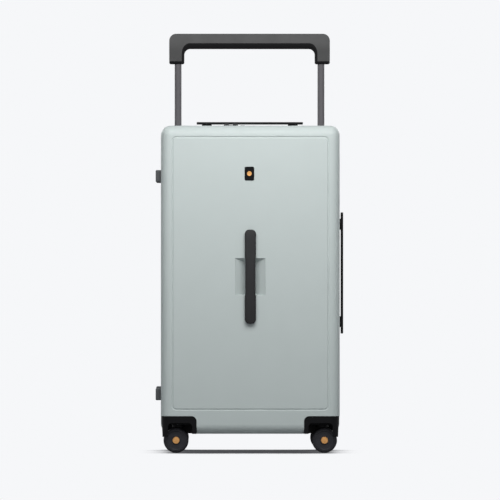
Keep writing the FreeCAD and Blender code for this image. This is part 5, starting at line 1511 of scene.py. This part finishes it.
POCKET_COLUMNS = 120
POCKET_ROWS = 60
POCKET_OUT = 3 * MM
POCKET_THICKNESS = 0.7 * MM
POCKET_BULGE = 9 * MM
BULGE_RUN = 0.62
SLACK_POWER = 0.6
GATHER_FROM = 0.45
GATHER_RUN = 0.5
POCKET_RUFFLES = 22
RUFFLE_DEPTH = 1.6 * MM
RUFFLE_SWAY = 1.3
RUFFLE_SWAYS = 9
CRUMPLE = 1.2 * MM
CRUMPLE_RUN = 6
CRUMPLES_ACROSS = 7
CRUMPLES_UP = 4
CRUMPLE_SLICE = 3.3
POCKET_SAG = 5 * MM
ELASTIC_HEIGHT = 22 * MM
ELASTIC_RIBS = 5
ELASTIC_RIB = 0.35 * MM
ELASTIC_FRONT = 1.1 * MM
ELASTIC_BACK = 0.9 * MM
ELASTIC_UP = 1 * MM
SEAM_SIDE_STEPS = 20
SEAM_FOOT_STEPS = 30
# The seam's profile in mm: across it, and out from the lining.
SEAM_PROFILE = ((-5, 2), (-4.5, 4.4), (4.5, 4.4), (5, 2))

low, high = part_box("lid_pocket")


def pocket_point(u, v):
    """A point of the pocket: u across, v up from its foot."""
    slack = math.sin(math.pi * u) ** SLACK_POWER
    bulge = POCKET_BULGE * slack * math.sin(math.pi * min(v * BULGE_RUN, 0.5))
    gather = min(max((v - GATHER_FROM) / GATHER_RUN, 0), 1)
    turn = 2 * math.pi * POCKET_RUFFLES * u + RUFFLE_SWAY * math.sin(RUFFLE_SWAYS * u)
    ruffle = RUFFLE_DEPTH * gather * slack * math.sin(turn)
    spot = Vector((u * CRUMPLES_ACROSS, v * CRUMPLES_UP, CRUMPLE_SLICE))
    crumple = CRUMPLE * slack * min(v * CRUMPLE_RUN, 1) * noise.noise(spot)
    sag = POCKET_SAG * math.sin(math.pi * u) * v ** 3
    y = low.y + POCKET_OUT + bulge + ruffle + crumple
    return low.x + (high.x - low.x) * u, y, low.z + (high.z - low.z) * v - sag


pocket = cloth_sheet("lid_pocket_cloth", POCKET_COLUMNS, POCKET_ROWS, POCKET_THICKNESS, pocket_point)
fit(pocket, "lid", "lining", lining_cloth, "lid_pocket")

rings = []
for column in range(POCKET_COLUMNS + 1):
    x, y, z = pocket_point(column / POCKET_COLUMNS, 1)
    top = z + ELASTIC_UP
    ring = []
    for step in range(2 * ELASTIC_RIBS + 1):
        rib = ELASTIC_RIB if step % 2 else 0
        ring.append((x, y + ELASTIC_FRONT + rib, top - ELASTIC_HEIGHT * step / (2 * ELASTIC_RIBS)))
    ring += [(x, y - ELASTIC_BACK, top - ELASTIC_HEIGHT), (x, y - ELASTIC_BACK, top)]
    rings.append(ring)
elastic = stacked("pocket_elastic", rings)
soften(elastic, 0)
fit(elastic, "lid", "lining", binding_cloth)

left_side = [(0, 1 - step / SEAM_SIDE_STEPS) for step in range(SEAM_SIDE_STEPS)]
foot_side = [(step / SEAM_FOOT_STEPS, 0) for step in range(SEAM_FOOT_STEPS + 1)]
right_side = [(1, step / SEAM_SIDE_STEPS) for step in range(1, SEAM_SIDE_STEPS + 1)]
border = [pocket_point(u, v)[::2] for u, v in left_side + foot_side + right_side]
rings = []
for number, (x, z) in enumerate(border):
    near = [Vector(border[min(max(number + step, 0), len(border) - 1)]) for step in (-1, 0, 1)]
    runs = [(two - one).normalized() for one, two in zip(near, near[1:]) if two != one]
    sides = [Vector((-run.y, run.x)) for run in runs]
    across = (sides[0] + sides[-1]) / (1 + sides[0].dot(sides[-1]))
    rings.append([(x + across.x * a * MM, low.y + out * MM, z + across.y * a * MM)
                  for a, out in SEAM_PROFILE])
pocket_seam = stacked("pocket_seam", rings)
soften(pocket_seam, 0)
fit(pocket_seam, "lid", "lining", binding_cloth)

# Packing straps
# Two straps of black webbing sewn to the back of the rear half, each closed by a side-release buckle
# of moulded acetal.

STRAP_WIDTH = 28 * MM
STRAP_THICKNESS = 1.5 * MM
STRAP_SELVEDGE = 0.7 * MM
STRAP_STATIONS = 40
STRAP_BOW = 5 * MM
STRAP_WAVE = 1 * MM
WAVES_ACROSS = 9
WAVES_UP = 5
STRAP_OFF = 3.5 * MM
STRAP_FROM_SIDE = 20 * MM
STRAP_TO_BUCKLE = 22 * MM
BUCKLE_AT = 420 * MM
BUCKLE_THICKNESS = 7 * MM
PRONG_OUT = 15.5 * MM
GAP_OUT = 19 * MM
SOCKET_EDGE = 0.8 * MM
PLUG_EDGE = 0.7 * MM

# Polypropylene webbing, black, in a coarse rib of 1.5 mm.
webbing = woven("polypropylene_webbing", "#141517", "#2a2b2e", pitch=1.5 * MM, roughness=0.75)
low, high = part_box("packing_straps")
back = high.y - STRAP_OFF


def webbing_run(name, x, z0, z1):
    """A flat strap up the back, bowed a little off the lining between its ends."""
    half, flat, thick = STRAP_WIDTH / 2, STRAP_WIDTH / 2 - STRAP_SELVEDGE, STRAP_THICKNESS / 2
    section = [(-half, 0), (-flat, -thick), (flat, -thick), (half, 0), (flat, thick), (-flat, thick)]
    rings = []
    for step in range(STRAP_STATIONS + 1):
        share = step / STRAP_STATIONS
        wave = STRAP_WAVE * noise.noise(Vector((x * WAVES_ACROSS, 0, share * WAVES_UP)))
        y = back - STRAP_BOW * math.sin(math.pi * share) ** 2 - wave
        rings.append([(x + a, y + b, z0 + (z1 - z0) * share) for a, b in section])
    piece = stacked(name, rings)
    soften(piece, 0)
    return piece


def buckle_block(name, x, half, inset, bottom, top, radius=0):
    """A block of a buckle, in mm from its middle; inset is how far it lies inside the buckle's thickness."""
    block_low = (x - half * MM, back - BUCKLE_THICKNESS + inset * MM, BUCKLE_AT + bottom * MM)
    block_high = (x + half * MM, back - inset * MM, BUCKLE_AT + top * MM)
    return block(name, block_low, block_high, SIDE_EDGES if radius else (), radius * MM)


for number, x in enumerate((low.x + STRAP_FROM_SIDE, high.x - STRAP_FROM_SIDE), 1):
    for part, z0, z1 in (("lower", low.z, BUCKLE_AT - STRAP_TO_BUCKLE),
                         ("upper", BUCKLE_AT + STRAP_TO_BUCKLE, high.z)):
        strap = webbing_run(f"strap_{number}_{part}", x, z0, z1)
        stands_for = ["packing_straps"] if number == 1 and part == "lower" else []
        fit(strap, "rear_case", "strap", webbing, *stands_for)
    socket = buckle_block(f"buckle_{number}_socket", x, half=19, inset=0, bottom=-30, top=8, radius=6)
    gaps = [buckle_block("prong_gap", x + side * GAP_OUT, half=7, inset=-1, bottom=-16, top=2, radius=3)
            for side in (-1, 1)]
    gaps.append(buckle_block("bar_gap", x, half=15, inset=-1, bottom=-27, top=-22))
    carve(socket, gaps)
    soften(socket, SOCKET_EDGE, segments=3)
    fit(socket, "rear_case", "strap", black_acetal)
    plug = buckle_block(f"buckle_{number}_plug", x, half=18, inset=0.5, bottom=8.3, top=30, radius=4)
    prongs = []
    for side in (-1, 1):
        prong_x = x + side * PRONG_OUT
        prongs.append(buckle_block("prong", prong_x, half=3.2, inset=1.5, bottom=-14, top=12, radius=2.6))
    carve(plug, prongs, "UNION")
    carve(plug, [buckle_block("slot", x, half=15, inset=-1, bottom=z, top=z + 4) for z in (14, 22)])
    soften(plug, PLUG_EDGE, segments=3)
    fit(plug, "rear_case", "strap", black_acetal)
